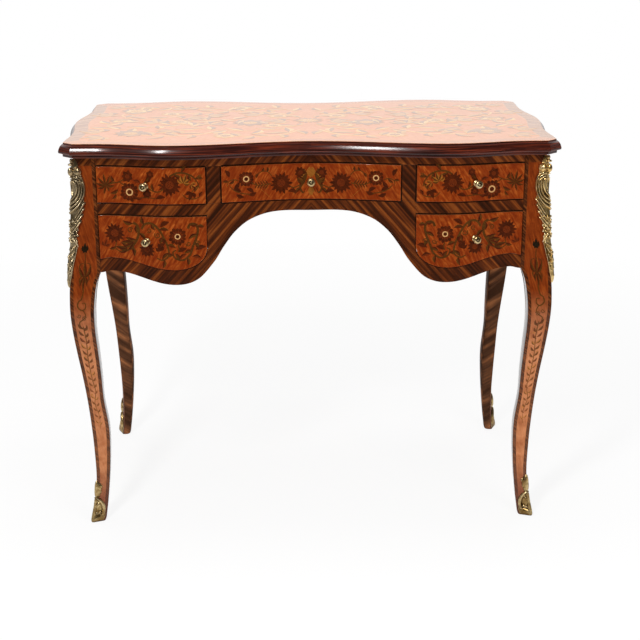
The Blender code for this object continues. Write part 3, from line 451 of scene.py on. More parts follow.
woodKinds = {
    "tulipField": tulip,
    "tulipTop": {**tulip, "angle": 62, "stops": ((0, (198, 122, 72)), (.5, (211, 136, 82)), (1, (221, 151, 97))),
        "fineColour": (192, 115, 66), "mottleColour": (205, 130, 76), "shader": glossy},
    "tulipBand": {**tulip, "angle": 90, "mirror": 0.0, "width": .004,
        "stops": ((0, (184, 116, 74)), (.5, (198, 132, 88)), (1, (210, 148, 102))), "fineColour": (176, 110, 70),
        "mottleColour": (190, 124, 82), "shader": glossy},
    "tulipLeg": {
        **tulip, "angle": 74, "mirror": 0.0, "width": .0040, "length": .030, "seed": 4.0, "low": .24, "high": .76,
        "stops": ((0, (74, 25, 3)), (.5, (100, 38, 6)), (1, (136, 64, 19))), "mottle": .50,
        "mottleColour": (116, 49, 11),
        "fade": (.37, .495, .88, (142, 79, 42), (195, 130, 87)), "foot": (.05, .13, .75, (104, 56, 40)),
    },
    "tulipEnd": {**tulip, "angle": 30, "seed": 9.0},
    "kingFrame": kingwood,
    # a lighter copy of the kingwood for the frieze: painted light against the shadow the moulding casts on it
    "kingFriezeLightened": {**kingwood, "seed": 2.0, "stops": ((0, (44, 18, 6)), (.35, (70, 30, 10)), (.62, (100, 47, 16)),
        (1, (138, 74, 30))), "fineColour": (54, 24, 9), "mottleColour": (80, 36, 12)},
    "kingInner": {**kingwood, "width": .010, "roughness": .12, "bump": .04,
        "shader": {"Coat Weight": 1.0, "Coat Roughness": .05, "Specular IOR Level": .5}},
    "kingBack": {
        **kingwood, "width": .019, "length": .16, "angle": -34, "low": .38, "high": .62,
        "stops": ((0, (54, 33, 21)), (.4, (78, 50, 34)), (.65, (98, 62, 40)), (1, (136, 86, 54))),
        "fine": .30, "fineColour": (62, 38, 24), "mottle": .15, "mottleColour": (84, 54, 36),
        "edge": .1, "shader": bareWax,
    },
    "kingTick": {
        **kingwood, "angle": 42, "mirror": 0.0, "width": .0034, "length": .05, "low": .38, "high": .62,
        "stops": ((0, (36, 16, 5)), (.5, (64, 30, 10)), (1, (112, 58, 22))),
        "fade": (.15, .50, .42, (84, 52, 34), (146, 94, 62)), "foot": (.05, .13, .6, (84, 50, 40)), "edge": .15,
    },
    "kingTop": {**kingwood, "angle": 40, "stops": ((0, (156, 112, 84)), (.5, (178, 131, 98)), (1, (198, 151, 114))),
        "fineColour": (142, 104, 80), "mottleColour": (160, 118, 92), "shader": glossy},
    "kingEdge": {**kingwood, "angle": 0, "mirror": 0.0, "width": .004,
        "stops": ((0, (32, 14, 6)), (.5, (50, 23, 9)), (1, (86, 44, 18)))},
    "mahogany": {
        "width": .0022, "length": .09, "angle": 0, "stops": ((0, (28, 8, 5)), (.5, (54, 17, 9)), (1, (104, 39, 18))),
        "fine": .30, "fineColour": (26, 8, 5), "mottle": .35, "mottleColour": (40, 12, 7),
        "roughness": .30, "bump": .11, "shader": {**glossy, "Coat Weight": .70, "Coat Roughness": .19}, "edge": .1,
        "edgeColour": (120, 56, 30),
    },
    "liningAlong": {**board, "runs": "y"},
    "liningAcross": {**board, "runs": "x", "seed": 3.0},
    "frontCore": {**board, "runs": "x", "seed": 5.0, "stops": ((0, (84, 46, 22)), (.5, (104, 60, 30)),
        (1, (126, 76, 40))), "fineColour": (72, 38, 18), "mottleColour": (92, 52, 26), "edgeColour": (140, 90, 52)},
    "stringLight": {**tulip, "width": .002, "length": .05, "stops": ((0, (170, 124, 88)), (1, (190, 146, 106))),
        "fineColour": (160, 112, 78), "mottleColour": (176, 130, 92), "shader": glossy},
    "stringDark": {**tulip, "width": .002, "length": .05, "stops": ((0, (16, 7, 3)), (1, (30, 13, 5))),
        "fineColour": (14, 6, 3), "mottleColour": (22, 10, 4), "edge": .1},
}
inlay = {
    "width": .0014, "length": .03, "mirror": 0.0, "angle": 35, "fine": .4, "mottle": .3, "roughness": .36, "bump": .12,
    "shader": lacquer, "edge": 0.0, "edgeColour": (214, 150, 92), "islandTint": .45,
}


def inlayKind(tones, **changes):
    dark, light, fine, mottle, tint = tones
    return {
        **inlay, "stops": ((0, dark), (1, light)),
        "fineColour": fine, "mottleColour": mottle, "tintColour": tint, **changes,
    }


inlayTones = {  # grain from and to, fine lines, mottle, tint of single cuts
    "Dark": ((42, 14, 2), (66, 23, 3), (36, 12, 2), (52, 17, 3), (78, 28, 4)),
    "Brown": ((78, 28, 6), (102, 40, 9), (62, 22, 4), (90, 33, 6), (66, 23, 5)),
    "Olive": ((58, 33, 6), (86, 52, 13), (48, 26, 5), (72, 41, 9), (56, 28, 6)),
    "Tan": ((116, 66, 18), (148, 92, 32), (96, 52, 14), (126, 74, 22), (98, 56, 15)),
    "Bone": ((168, 126, 78), (194, 152, 102), (146, 104, 60), (178, 134, 86), (166, 122, 74)),
}
topTones = {
    "Grey": ((150, 114, 86), (174, 134, 100), (152, 112, 80), (164, 124, 90), (186, 134, 92)),
    "Tan": ((194, 142, 82), (210, 160, 96), (184, 128, 72), (200, 148, 86), (206, 144, 92)),
    "Pale": ((214, 166, 100), (223, 178, 113), (200, 148, 90), (216, 170, 110), (212, 152, 100)),
}
legTones = {**inlayTones, "Black": ((14, 11, 4), (28, 20, 7), (12, 9, 3), (20, 15, 5), (34, 22, 8))}
legFloorLight = {"low": .30, "high": .49, "amount": .80, "lift": 1.15}  # painted light, lighter towards the feet like the legs they lie in
legLitPale = {
    "Dark": (108, 61, 31), "Brown": (122, 71, 38), "Olive": (112, 69, 32), "Tan": (162, 104, 54), "Black": (60, 34, 16),
}
for name, tones in inlayTones.items():
    woodKinds["inlay" + name] = inlayKind(tones)
for name, tones in topTones.items():
    woodKinds["top" + name] = inlayKind(tones, shader=glossy)
for name, pale in legLitPale.items():
    lifted = tuple(c * legFloorLight["lift"] for c in pale)
    fade = (legFloorLight["low"], legFloorLight["high"], legFloorLight["amount"], pale, lifted)
    woodKinds["leg" + name] = inlayKind(legTones[name], fade=fade)
bronzeKinds = {
    # one gilding in a bright and a dull copy, the right mounts lit and the left shaded: partly patina, partly painted
    # light and shade
    "giltBrightLit": {
        "stops": ((0, (188, 144, 80)), (.5, (220, 182, 114)), (1, (242, 212, 150))), "hollowColour": (64, 42, 16),
        "edge": .85, "edgeColour": (255, 242, 200), "roughLow": .24, "roughHigh": .40, "bump": .10,
    },
    "giltDullShaded": {
        "stops": ((0, (134, 116, 84)), (.5, (174, 152, 116)), (1, (208, 188, 150))), "hollowColour": (50, 40, 28),
        "edgeColour": (240, 224, 188), "roughHigh": .46,
    },
    "giltPale": {
        "stops": ((0, (112, 84, 44)), (.5, (166, 136, 86)), (1, (226, 204, 150))), "hollow": 1.0,
        "hollowColour": (48, 28, 10),
        "edgeColour": (250, 236, 194), "roughHigh": .44, "foot": (.004, .020, .55, (98, 72, 34)),
    },
    "knobBrass": {
        "stops": ((0, (172, 142, 90)), (.5, (200, 172, 120)), (1, (222, 198, 150))), "hollow": .85,
        "hollowColour": (74, 46, 18),
        "edge": .3, "edgeColour": (246, 232, 194), "roughLow": .30, "roughHigh": .44, "bump": .04, "bumpDepth": .0002,
    },
}
finishes = {key: woodMaterial(key, kind) for key, kind in woodKinds.items()}
finishes.update({key: bronzeMaterial(key, kind) for key, kind in bronzeKinds.items()})
print("materials made:", len(finishes))


def layGrain(mesh, origin, grainAt):
    layer = mesh.uv_layers.new(name="grain")
    cells = [0.0] * (2 * len(mesh.loops))
    for face in mesh.polygons:
        n = [abs(c) for c in face.normal]
        axes = (0, 1) if n[2] > max(n[0], n[1]) else ((1, 2) if n[0] > n[1] * 1.2 else (0, 2))
        for loop in face.loop_indices:
            vertex = mesh.loops[loop].vertex_index
            at = mesh.vertices[vertex].co
            spot = grainAt(face.index, vertex) if grainAt else (at[axes[0]] - origin[axes[0]],
                at[axes[1]] - origin[axes[1]])
            cells[2 * loop], cells[2 * loop + 1] = spot
    layer.data.foreach_set("uv", cells)


def addObject(name, data):
    made = bpy.data.objects.new(name, data)
    bpy.context.scene.collection.objects.link(made)
    return made


def meshFrom(name, verts, faces, kinds=(), faceMats=None):
    mesh = bpy.data.meshes.new(name)
    mesh.from_pydata([tuple(v) for v in verts], [], faces)
    for kind in kinds:
        mesh.materials.append(finishes[kind])
    if faceMats:
        mesh.polygons.foreach_set("material_index", faceMats)
    shape = bmesh.new()
    shape.from_mesh(mesh)
    bmesh.ops.recalc_face_normals(shape, faces=shape.faces)
    shape.to_mesh(mesh)
    shape.free()
    return mesh


def addPiece(name, verts, faces, kinds, body="carcase", replaced=(), faceMats=None, origin=(0, 0, 0), sharp=38,
        soften=0.0, grainAt=None):
    mesh = meshFrom(name, verts, faces, kinds, faceMats)
    layGrain(mesh, origin, grainAt)
    mesh.shade_smooth()
    mesh.set_sharp_from_angle(angle=math.radians(sharp))
    piece = addObject(name, mesh)
    if soften:
        bevel = piece.modifiers.new("softEdges", "BEVEL")
        bevel.width, bevel.segments, bevel.limit_method, bevel.angle_limit = soften, 2, "ANGLE", math.radians(45)
        piece.modifiers.new("evenNormals", "WEIGHTED_NORMAL").keep_sharp = True
    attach(piece, body)
    if replaced:
        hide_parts(*replaced)
    return piece


def loftMesh(rings):
    count, last = len(rings[0]), len(rings) - 1
    verts = [point for ring in rings for point in ring]
    faces, tags = [], []
    for i in range(last):
        for j in range(count):
            k = (j + 1) % count
            faces.append((i * count + j, i * count + k, (i + 1) * count + k, (i + 1) * count + j))
            tags.append(j)
    faces.append(tuple(range(count - 1, -1, -1)))
    faces.append(tuple(range(last * count, (last + 1) * count)))
    return verts, faces, tags + [None, None]


topShape = {
    "frontOverhang": .016, "cornerOverhang": .014, "endDip": .006, "cornerCant": .017, "lip": .0135, "gap": .0003,
    "bandWidth": .022, "lineWidth": .0014, "spacing": .006, "edgeRound": .0004, "lap": .0040, "sheet": .0012,
    "rim": .003, "bandStep": .002, "fieldInsets": (.08, .16, .22),
    "veneers": ("tulipTop", "kingTop", "stringLight", "liningAcross", "tulipBand", "stringDark"),
    # the loops of the sheet, from the underside in
    "rows": ("liningAcross",) + ("stringDark",) * 2 + ("kingTop",) * 4 + ("stringLight",) + ("tulipTop",) * 4,
    "profile": (  # moulding: share of the lip, share of the thickness
        (0, .05), (.280, .05), (.285, .108), (.36, .122), (.46, .146), (.56, .178), (.65, .218), (.725, .265),
        (.79, .32), (.85, .383), (.90, .445), (.945, .51), (.98, .575), (1.0, .64), (.985, .70), (.93, .742),
        (.82, .765), (.66, .778), (.50, .786), (.43, .80), (.42, .83), (.42, .97), (.40, .995), (0, 1)),
}


def topQuarter():
    cornerX = desk["postReach"] + topShape["cornerOverhang"] - topShape["cornerCant"]
    cornerY = desk["postDepth"] + topShape["cornerOverhang"] - topShape["cornerCant"]
    straight = cornerX - topShape["cornerOverhang"] - desk["bulgeX"]
    points = []
    for x in stations(0, cornerX, topShape["spacing"]):
        over = between(topShape["frontOverhang"], topShape["cornerOverhang"], ease((x - desk["bulgeX"]) / straight))
        points.append((x, faceDepth(x) + over))
    for y in reversed(stations(0, cornerY, topShape["spacing"])):
        dip = topShape["endDip"] * math.sin(math.pi * y / cornerY) ** 2
        points.append((endReach(y) + topShape["cornerOverhang"] - dip, y))
    return points


def topOutline():
    quarter = topQuarter()
    loop = [(x, -y) for x, y in quarter]
    loop += [(x, y) for x, y in reversed(quarter[:-1])]
    loop += [(-x, y) for x, y in quarter[1:]]
    loop += [(-x, -y) for x, y in reversed(quarter[1:-1])]
    return [Vector(p) for p in loop]


def insetLoop(loop, inset):
    moved = []
    for i, point in enumerate(loop):
        before = (point - loop[i - 1]).normalized()
        after = (loop[(i + 1) % len(loop)] - point).normalized()
        normals = Vector((before.y, -before.x)), Vector((after.y, -after.x))
        middle = (normals[0] + normals[1]).normalized()
        moved.append(point - middle * (inset / max(middle.dot(normals[0]), .3)))
    return moved


def shrinkLoop(loop, inset):
    wide, deep = max(p.x for p in loop), max(p.y for p in loop)
    return [Vector((p.x * (1 - inset / wide), p.y * (1 - inset / deep))) for p in loop]


def flatRing(loop, z):
    return [(p.x, p.y, z) for p in loop]


def makeTopSheet(outline):
    high, under = desk["height"], desk["height"] - topShape["sheet"]
    # the sheet laps over the edging
    edge, lap = insetLoop(outline, topShape["gap"]), insetLoop(outline, -topShape["lap"])
    rings = [flatRing(edge, desk["topUnderside"]), flatRing(edge, under), flatRing(lap, under),
        flatRing(lap, high - topShape["edgeRound"])]
    rings.append(flatRing(insetLoop(outline, topShape["edgeRound"] - topShape["lap"]), high))
    band, rim = topShape["bandWidth"], topShape["rim"]
    field = band + topShape["lineWidth"]
    for inset in (rim, band - topShape["bandStep"], band, field, field + rim) + topShape["fieldInsets"]:
        rings.append(flatRing(shrinkLoop(outline, inset), high))
    verts, faces, tags = loftMesh(rings)
    kinds = []
    for kind in topShape["rows"]:
        for i, point in enumerate(outline):
            way = outline[(i + 1) % len(outline)] - point
            along = abs(way.y) < abs(way.x) * 1.5  # the band's wood differs along the front and the back
            kinds.append("tulipBand" if kind == "kingTop" and along else kind)
    faceMats = [topShape["veneers"].index(kind) for kind in kinds + ["liningAcross", "tulipTop"]]
    addPiece("top_veneer", verts, faces, topShape["veneers"], replaced=("top_board",),
        faceMats=faceMats)


def makeEdging(outline):
    high, rise = desk["height"], desk["height"] - desk["topUnderside"]
    profile, lip = topShape["profile"], topShape["lip"]
    count, width = len(outline), len(profile)
    loops = [insetLoop(outline, -out * lip) for out, down in profile]
    verts = [(loops[k][i].x, loops[k][i].y, high - profile[k][1] * rise) for i in range(count) for k in range(width)]
    faces, walked, girth = [], [0.0], [0.0]
    for i in range(count):
        n = (i + 1) % count
        for k in range(width):
            m = (k + 1) % width
            faces.append((i * width + k, i * width + m, n * width + m, n * width + k))
        walked.append(walked[-1] + (outline[n] - outline[i]).length)
    for (out, down), (nextOut, nextDown) in zip(profile, profile[1:]):
        girth.append(girth[-1] + math.hypot((nextOut - out) * lip, (nextDown - down) * rise))

    def runAlong(face, vertex):
        i, k = divmod(vertex, width)
        return walked[count if i == 0 and face // width == count - 1 else i], girth[k]

    addPiece("top_edging", verts, faces, ("mahogany",), replaced=("top_moulding",), sharp=34,
        grainAt=runAlong)


boardLook = {"line": .0016, "spacing": .005, "shapedSpacing": .003, "endSpacing": .006, "soften": .0007, "lap": .8,
    "slit": .0002}


def boardRings(places, outer, inner, low, high, facing):
    rings = []
    for x in places:
        out, back, a, b = facing * outer(x), facing * inner(x), low(x), high(x)
        line = boardLook["line"] / (b - a)
        face = [(x, out, between(a, b, s)) for s in (0, line, .35, .65, 1 - line, 1)]
        rings.append(face + [(x, back, b), (x, back, a)])
    return rings


def makeBoard(name, places, low, high, node, facing=-1, thickness=desk["frameThickness"], lined=lambda x, row: False,
        veneer="kingFrame"):
    verts, faces, tags = loftMesh(boardRings(places, faceDepth, lambda x: faceDepth(x) - thickness, low, high, facing))
    count = len(faces[-1])
    faceMats = []
    for index, tag in enumerate(tags):  # veneer on the face, a dark line beside an opening as painted shade of the drawer gap, plain edges elsewhere
        x = 0 if tag is None else (places[index // count] + places[index // count + 1]) / 2
        faceMats.append(1 if tag not in range(5) else (2 if lined(x, tag) else 0))
    kinds = (veneer, "kingEdge", "stringDark")
    addPiece(name, verts, faces, kinds, replaced=(node,), faceMats=faceMats,
        soften=boardLook["soften"])


def makeFrame():
    step, line, slit = boardLook["spacing"], boardLook["line"], boardLook["slit"]
    inner, outer, post = desk["dividerInnerX"], desk["dividerOuterX"], desk["postInnerX"]
    # the veneer runs a little into the joint, so no daylight shows round the lobes
    lap = desk["reveal"] * boardLook["lap"]

    def overDrawer(x):
        return abs(x) < inner or abs(x) > outer

    def level(key):
        return lambda x: desk[key]

    def apronTop(x):
        return desk["openingSill"] if abs(x) < outer else lowerDrawerEdge(max(abs(x) - lap, outer)) + lap

    makeBoard("frieze_rail", stations(-post, post, step), level("openingTop"), level("topUnderside"), "front_top_rail",
        lined=lambda x, row: row == 0 and overDrawer(x), veneer="kingFriezeLightened")
    for name, side in sides.items():
        ends = sorted((side * outer, side * post))
        makeBoard("middle_rail_" + name, stations(*ends, step), level("lowerOpeningTop"), level("openingSill"),
            "mid_rail_" + name, lined=lambda x, row: row in (0, 4))
        low, high = sorted((side * inner, side * outer))
        places = [low] + stations(low + line, high - line, step) + [high]
        makeBoard("divider_" + name, places, level("openingSill"), level("openingTop"), "front_divider_" + name,
            lined=lambda x, row, low=low, high=high: min(x - low, high - x) < line)
    marks = stations(-post, post, boardLook["shapedSpacing"])
    places = sorted(
        m for m in marks + [s * (outer + d) for s in (-1, 1) for d in (-slit, slit)]
        if abs(abs(m) - outer) > slit * .75)
    makeBoard("apron_veneer", places, apronEdge, apronTop, "front_apron",
        lined=lambda x, row: row == 4 and overDrawer(x))
    makeBoard("back_veneer", marks, apronEdge, level("topUnderside"), "back_panel", facing=1,
        thickness=desk["endThickness"])
    for name, side in sides.items():
        rings = []
        for y in stations(-desk["postInnerY"], desk["postInnerY"], boardLook["endSpacing"]):
            reach, low, high = endReach(y), endEdge(y), desk["topUnderside"]
            out, back = side * reach, side * (reach - desk["endThickness"])
            rings.append([(out, y, low), (out, y, high), (back, y, high), (back, y, low)])
        verts, faces, tags = loftMesh(rings)
        addPiece("end_veneer_" + name, verts, faces, ("kingFrame",), replaced=("end_panel_" + name,),
            soften=boardLook["soften"])


legLook = {
    "arrisRound": .0030, "edgeRound": .0020, "innerRound": .003, "band": .0046, "step": .005,
    "heel": .014, "heelRound": .16, "heelRows": (0, .04, .12, .25, .45, .7),
}


def roundCorner(before, point, after, radius, count):
    a = point + (before - point).normalized() * radius
    b = point + (after - point).normalized() * radius
    return [a * (1 - t) ** 2 + point * 2 * t * (1 - t) + b * t ** 2 for t in (i / (count - 1) for i in range(count))]


def legSection(z):
    p = legRing(z)
    if z < legLook["heel"]:  # the foot rounds in under itself
        drop = 1 - z / legLook["heel"]
        p = [p[0]] + [p[0] + (q - p[0]) * (1 - legLook["heelRound"] * (1 - math.sqrt(1 - drop ** 2))) for q in p[1:]]
    arris, edge, inner = (legLook[key] for key in ("arrisRound", "edgeRound", "innerRound"))
    ring, tags = [], []
    for i, (radius, count) in enumerate(((arris, 7), (edge, 5), (inner, 3), (inner, 3), (edge, 5))):
        after = p[(i + 1) % 5]
        corner = roundCorner(p[i - 1], p[i], after, radius, count)
        ring += corner
        tags += [1 if i in (0, 1, 4) else 2] * (count - 1)
        if i in (0, 4):  # the two outer faces: band, field, band
            start, end = corner[-1], after + (p[i] - after).normalized() * (edge if i == 0 else arris)
            along = (end - start).normalized()
            ring += [start + along * legLook["band"], end - along * legLook["band"]]
            tags += [1, 0, 1]
        else:
            tags += [2]
    return ring, tags


def makeLegs():
    heel, head, step = legLook["heel"], desk["openingTop"], legLook["step"]
    heights = [heel * s for s in legLook["heelRows"]] + stations(heel, head, step)[:-1] + stations(head,
        desk["topUnderside"], step)
    for corner, facing, side in corners:
        rings, tagsAt = [], None
        for z in heights:
            ring, tagsAt = legSection(z)
            rings.append([(side * p.x, facing * p.y, z) for p in ring])
        verts, faces, tags = loftMesh(rings)
        faceMats = []
        for index, tag in enumerate(tags):
            kind = 2 if tag is None else tagsAt[tag]
            # above the openings the field takes the frame's dark kingwood: a crossband, and also painted shade under
            # the moulding
            faceMats.append(3 if kind == 0 and heights[index // len(tagsAt)] > head - 1e-6 else kind)
        kinds = ("tulipLeg", "kingTick", "kingInner" if facing < 0 else "kingBack", "kingFrame")
        addPiece("cabriole_leg_" + corner, verts, faces, kinds, replaced=("leg_" + corner,),
            faceMats=faceMats, sharp=50)


drawerLook = {
    "skin": .0006, "sunk": .0008, "soften": .0006, "spacing": .003, "inset": .004,
    "linings": {"front": "frontCore", "side_left": "liningAlong", "side_right": "liningAlong", "back": "liningAcross",
        "bottom": "liningAcross"},
    "boards": ("partition_left", "partition_right", "drawer_shelf_left", "drawer_shelf_right",
    "pedestal_floor_left", "pedestal_floor_right", "kneehole_soffit"),
}
drawers = {
    "middle_drawer": {"side": 0, "low": desk["openingSill"], "high": desk["openingTop"]},
    "upper_left_drawer": {"side": -1, "low": desk["openingSill"], "high": desk["openingTop"]},
    "lower_left_drawer": {"side": -1, "low": None, "high": desk["lowerOpeningTop"]},
    "upper_right_drawer": {"side": 1, "low": desk["openingSill"], "high": desk["openingTop"]},
    "lower_right_drawer": {"side": 1, "low": None, "high": desk["lowerOpeningTop"]},
}


def drawerSpan(spec):
    reveal = desk["reveal"]
    if spec["side"] == 0:
        return -desk["dividerInnerX"] + reveal, desk["dividerInnerX"] - reveal
    return tuple(sorted((spec["side"] * (desk["dividerOuterX"] + reveal),
        spec["side"] * (desk["postInnerX"] - reveal))))


def drawerLow(spec, x):
    if spec["low"] is not None:
        return spec["low"] + desk["reveal"]
    return lowerDrawerEdge(max(abs(x) - desk["reveal"], desk["dividerOuterX"])) + desk["reveal"]


def dressNode(node, kind):
    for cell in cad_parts[node].material_slots:
        cell.material = finishes[kind]


def makeDrawerFronts():
    for name, spec in drawers.items():
        places = stations(*drawerSpan(spec), drawerLook["spacing"])
        top = spec["high"] - desk["reveal"]
        outer, inner = desk["proud"] + drawerLook["skin"], desk["proud"]
        rings = boardRings(places, lambda x: faceDepth(x) + outer, lambda x: faceDepth(x) + inner - drawerLook["sunk"],
            lambda x: drawerLow(spec, x), lambda x: top, -1)
        verts, faces, tags = loftMesh(rings)
        origin = (spec["side"] * desk["dividerOuterX"], 0, desk["openingSill"])
        addPiece(name + "_veneer", verts, faces, ("tulipField",), body=name,
            soften=drawerLook["soften"], origin=origin)
        for part, kind in drawerLook["linings"].items():
            dressNode(name + "_" + part, kind)
    for node in drawerLook["boards"]:
        dressNode(node, "liningAlong")


knobLook = {  # turned profile: radius and reach from the seat
    "shift": .010, "turns": 40, "head": .0081, "roll": .0042, "rollReach": .0043, "rollAt": .0132,
    "foot": ((.0066, -.002), (.0066, .0010), (.0058, .0019), (.0046, .0024), (.0036, .0036), (.0032, .0056),
        (.0034, .0072), (.0048, .0088)),
    "eye": ((.0043, .0172), (.0037, .0160), (.0032, .0151), (.0025, .0150), (.0022, .0158), (.0015, .0167),
        (.0006, .0170)),
}


def knobPlace(spec):
    x = spec["side"] * ((desk["dividerOuterX"] + desk["postInnerX"]) / 2 + knobLook["shift"])
    low = spec["low"] if spec["low"] is not None else lowerDrawerEdge(x)
    return x, (low + spec["high"]) / 2


def makeKnobs():
    roll, turns = knobLook["roll"], knobLook["turns"]
    arc = [math.radians(a) for a in range(-70, 91, 16)]
    head = tuple((knobLook["head"] - roll + roll * math.cos(a),
        knobLook["rollAt"] + knobLook["rollReach"] * math.sin(a)) for a in arc)
    around = [2 * math.pi * i / turns for i in range(turns)]
    for name, spec in drawers.items():
        x, z = knobPlace(spec)
        axis = Vector((-faceSlope(x), -1, 0)).normalized()
        seat = Vector((x, -faceDepth(x), z)) + axis * (desk["proud"] + drawerLook["skin"])
        right = axis.cross(Vector((0, 0, 1))).normalized()
        up = right.cross(axis)
        rings = []
        for radius, out in knobLook["foot"] + head + knobLook["eye"]:
            centre = seat + axis * out
            rings.append([centre + right * (radius * math.cos(a)) + up * (radius * math.sin(a)) for a in around])
        verts, faces, tags = loftMesh(rings)
        addPiece(name + "_turned_knob", verts, faces, ("knobBrass",), body=name,
            replaced=(name + "_knob",), sharp=42)


topLoop = topOutline()
makeTopSheet(topLoop)
makeEdging(topLoop)
makeFrame()
makeLegs()
print("top, frame and legs built")
makeDrawerFronts()
makeKnobs()
print("drawer fronts and knobs built")

sheet = {"lift": .00012, "layer": .00005, "level": .0000025, "sink": .0003}
inlayWoods = ("inlayDark", "inlayBrown", "inlayOlive", "inlayTan", "inlayBone")
legWoods = ("legDark", "legBrown", "legOlive", "legTan", "legBlack")
topWoods = ("topGrey", "topTan", "topPale")


def pathAlong(points, steps=8):
    path = []
    last = len(points) - 1
    for i in range(last):
        a, b, c, d = (Vector(points[min(max(k, 0), last)]) for k in (i - 1, i, i + 1, i + 2))
        for s in range(steps + (1 if i == last - 1 else 0)):
            t = s / steps
            bend, twist = a * 2 - b * 5 + c * 4 - d, b * 3 - a - c * 3 + d
            path.append(b * 1.0 + (c - a) * (.5 * t) + bend * (.5 * t * t) + twist * (.5 * t ** 3))
    return path


def heading(angle):
    return Vector((math.cos(angle), math.sin(angle)))


def crosswise(way):
    return Vector((-way.y, way.x))


def aroundCircle(count):
    return [heading(2 * math.pi * i / count) for i in range(count)]


def taper(first, last):
    return (0, first), (1, last)


def polygonPatch(points, wood, layer=0):
    return [Vector(p) for p in points], [list(range(len(points)))], wood, layer


def ribbon(points, widths, wood, layer=0, steps=8):
    path = pathAlong(points, steps)
    verts, faces = [], []
    last = len(path) - 1
    for i, at in enumerate(path):
        way = (path[min(i + 1, last)] - path[max(i - 1, 0)]).normalized()
        half = curveThrough(widths, i / last, 1) / 2
        turn = crosswise(way) * max(half, .00015)
        verts += [at + turn, at - turn]
        if i:
            faces.append([2 * i - 2, 2 * i - 1, 2 * i + 1, 2 * i])
    return [(verts, faces, wood, layer)]


# share of the length, share of the width
pointedPetal = ((0, .40), (.28, .80), (.50, 1.0), (.72, .72), (.88, .36), (1.0, 0))
roundPetal = ((0, .40), (.30, .78), (.62, 1.0), (.85, .86), (.96, .45), (1.0, 0))


def petal(centre, angle, start, reach, width, wood, layer, rows=pointedPetal):
    way = heading(angle)
    turn = crosswise(way)
    left = [centre + way * between(start, reach, s) + turn * (w * width / 2) for s, w in rows]
    right = [centre + way * between(start, reach, s) - turn * (w * width / 2) for s, w in reversed(rows[:-1])]
    return polygonPatch(left + right, wood, layer)


def disc(centre, radius, wood, layer, count=14):
    return polygonPatch([centre + way * radius for way in aroundCircle(count)], wood, layer)


def dot(x, y, radius, wood, layer, count):
    return [disc(Vector((x, y)), radius, wood, layer, count)]


def daisy(x, y, radius, petals=15, colours=(0, 0, 1, 0)):
    centre, made = Vector((x, y)), []
    for k in range(petals):  # two whorls of pointed petals round a seeded heart
        angle = 2 * math.pi * (k + .5) / petals
        outer, inner = radius * (.95 + .07 * ((k * 5) % 3 - 1)), radius * (.64 + .06 * ((k * 7) % 3 - 1))
        made.append(petal(centre, angle, radius * .2, outer, 4.5 * radius / petals, colours[0], 0))
        made.append(petal(centre, angle + math.pi / petals, radius * .2, inner, 3.4 * radius / petals, colours[1], 1))
    made.append(disc(centre, radius * .34, colours[2], 2))
    for k in range(9):
        share = math.sqrt((k + .5) / 9)
        made.append(disc(centre + heading(2.4 * k) * (radius * .27 * share), radius * .045, colours[3], 3, 6))
    return made


def ringFlower(x, y, radius, ring, petals=13, colours=(0, 1, 4, 0)):
    centre, made = Vector((x, y)), []
    for k in range(petals):
        angle = 2 * math.pi * (k + .3) / petals
        outer = radius * (.95 + .06 * ((k * 5) % 3 - 1))
        made.append(petal(centre, angle, ring * .7, outer, 4.9 * radius / petals, colours[0], 0, roundPetal))
        made.append(petal(centre, angle + math.pi / petals, ring * .7, radius * .70, 2.6 * radius / petals, colours[1],
            1))
    inner, count = ring * .64, 20
    verts, faces = [], []
    for i, way in enumerate(aroundCircle(count)):
        verts += [centre + way * inner, centre + way * ring]
        j = (i + 1) % count
        faces.append([2 * i, 2 * i + 1, 2 * j + 1, 2 * j])
    made.append((verts, faces, colours[2], 3))
    made.append(disc(centre, inner, colours[3], 2))
    return made


leafShape = ((0, .06), (.2, .62), (.4, 1.0), (.6, .92), (.8, .52), (1, 0))  # share of the length, share of the width


def leaf(x, y, angle, length, width, colours=(2, 0), bend=.12, layer=0):
    way = heading(angle)
    turn = crosswise(way)
    root, made = Vector((x, y)), []
    for sign, wood in ((1, colours[0]), (-1, colours[1])):  # light and dark half either side of the vein
        middle = [root + way * (s * length) + turn * (bend * math.sin(math.pi * s) * length) for s, w in leafShape]
        rim = [m + turn * (sign * w * width / 2) for m, (s, w) in zip(middle, leafShape)]
        made.append(polygonPatch(middle + rim[-2::-1], wood, layer))
    return made


def spray(x, y, angle, length, count, spreadAngle, colours=(0, 1), width=.28):
    made = []
    for k in range(count):
        share = k / (count - 1) - .5 if count > 1 else 0
        made += leaf(x, y, angle + spreadAngle * share, length * (1 - .5 * abs(share)), length * width, colours,
            .25 * share, 1)
    return made


def curl(x, y, radius, start, turns, width, wood):
    points = []
    for s in (i / 9 for i in range(10)):
        size, angle = radius * (1 - .72 * s), start + 2 * math.pi * turns * s
        points.append((x + size * math.cos(angle), y + size * math.sin(angle)))
    return ribbon(points, ((0, width), (.5, width * .9), (1, width * .5)), wood, 1, 3)


def leafyVine(points, width, wood, every, size, colours=(2, 0), start=1):
    path = pathAlong(points)
    made = ribbon(points, ((0, width), (.6, width * .85), (1, width * .45)), wood)
    walked, turn = every * .5, start
    for i in range(1, len(path)):
        step = path[i] - path[i - 1]
        walked += step.length
        if walked >= every:
            walked, turn = 0.0, -turn
            way = step.normalized()
            length = size * (.85 + .3 * ((i * 3) % 4) / 3)
            made += leaf(path[i].x, path[i].y, math.atan2(way.y, way.x) + turn * .85, length, size * .42, colours,
                .10 * turn, 1)
    return made


def mirrored(patches):
    return [([Vector((-p.x, p.y)) for p in points], cells, wood, layer) for points, cells, wood, layer in patches]


def bothWays(patches):
    return patches + mirrored(patches)


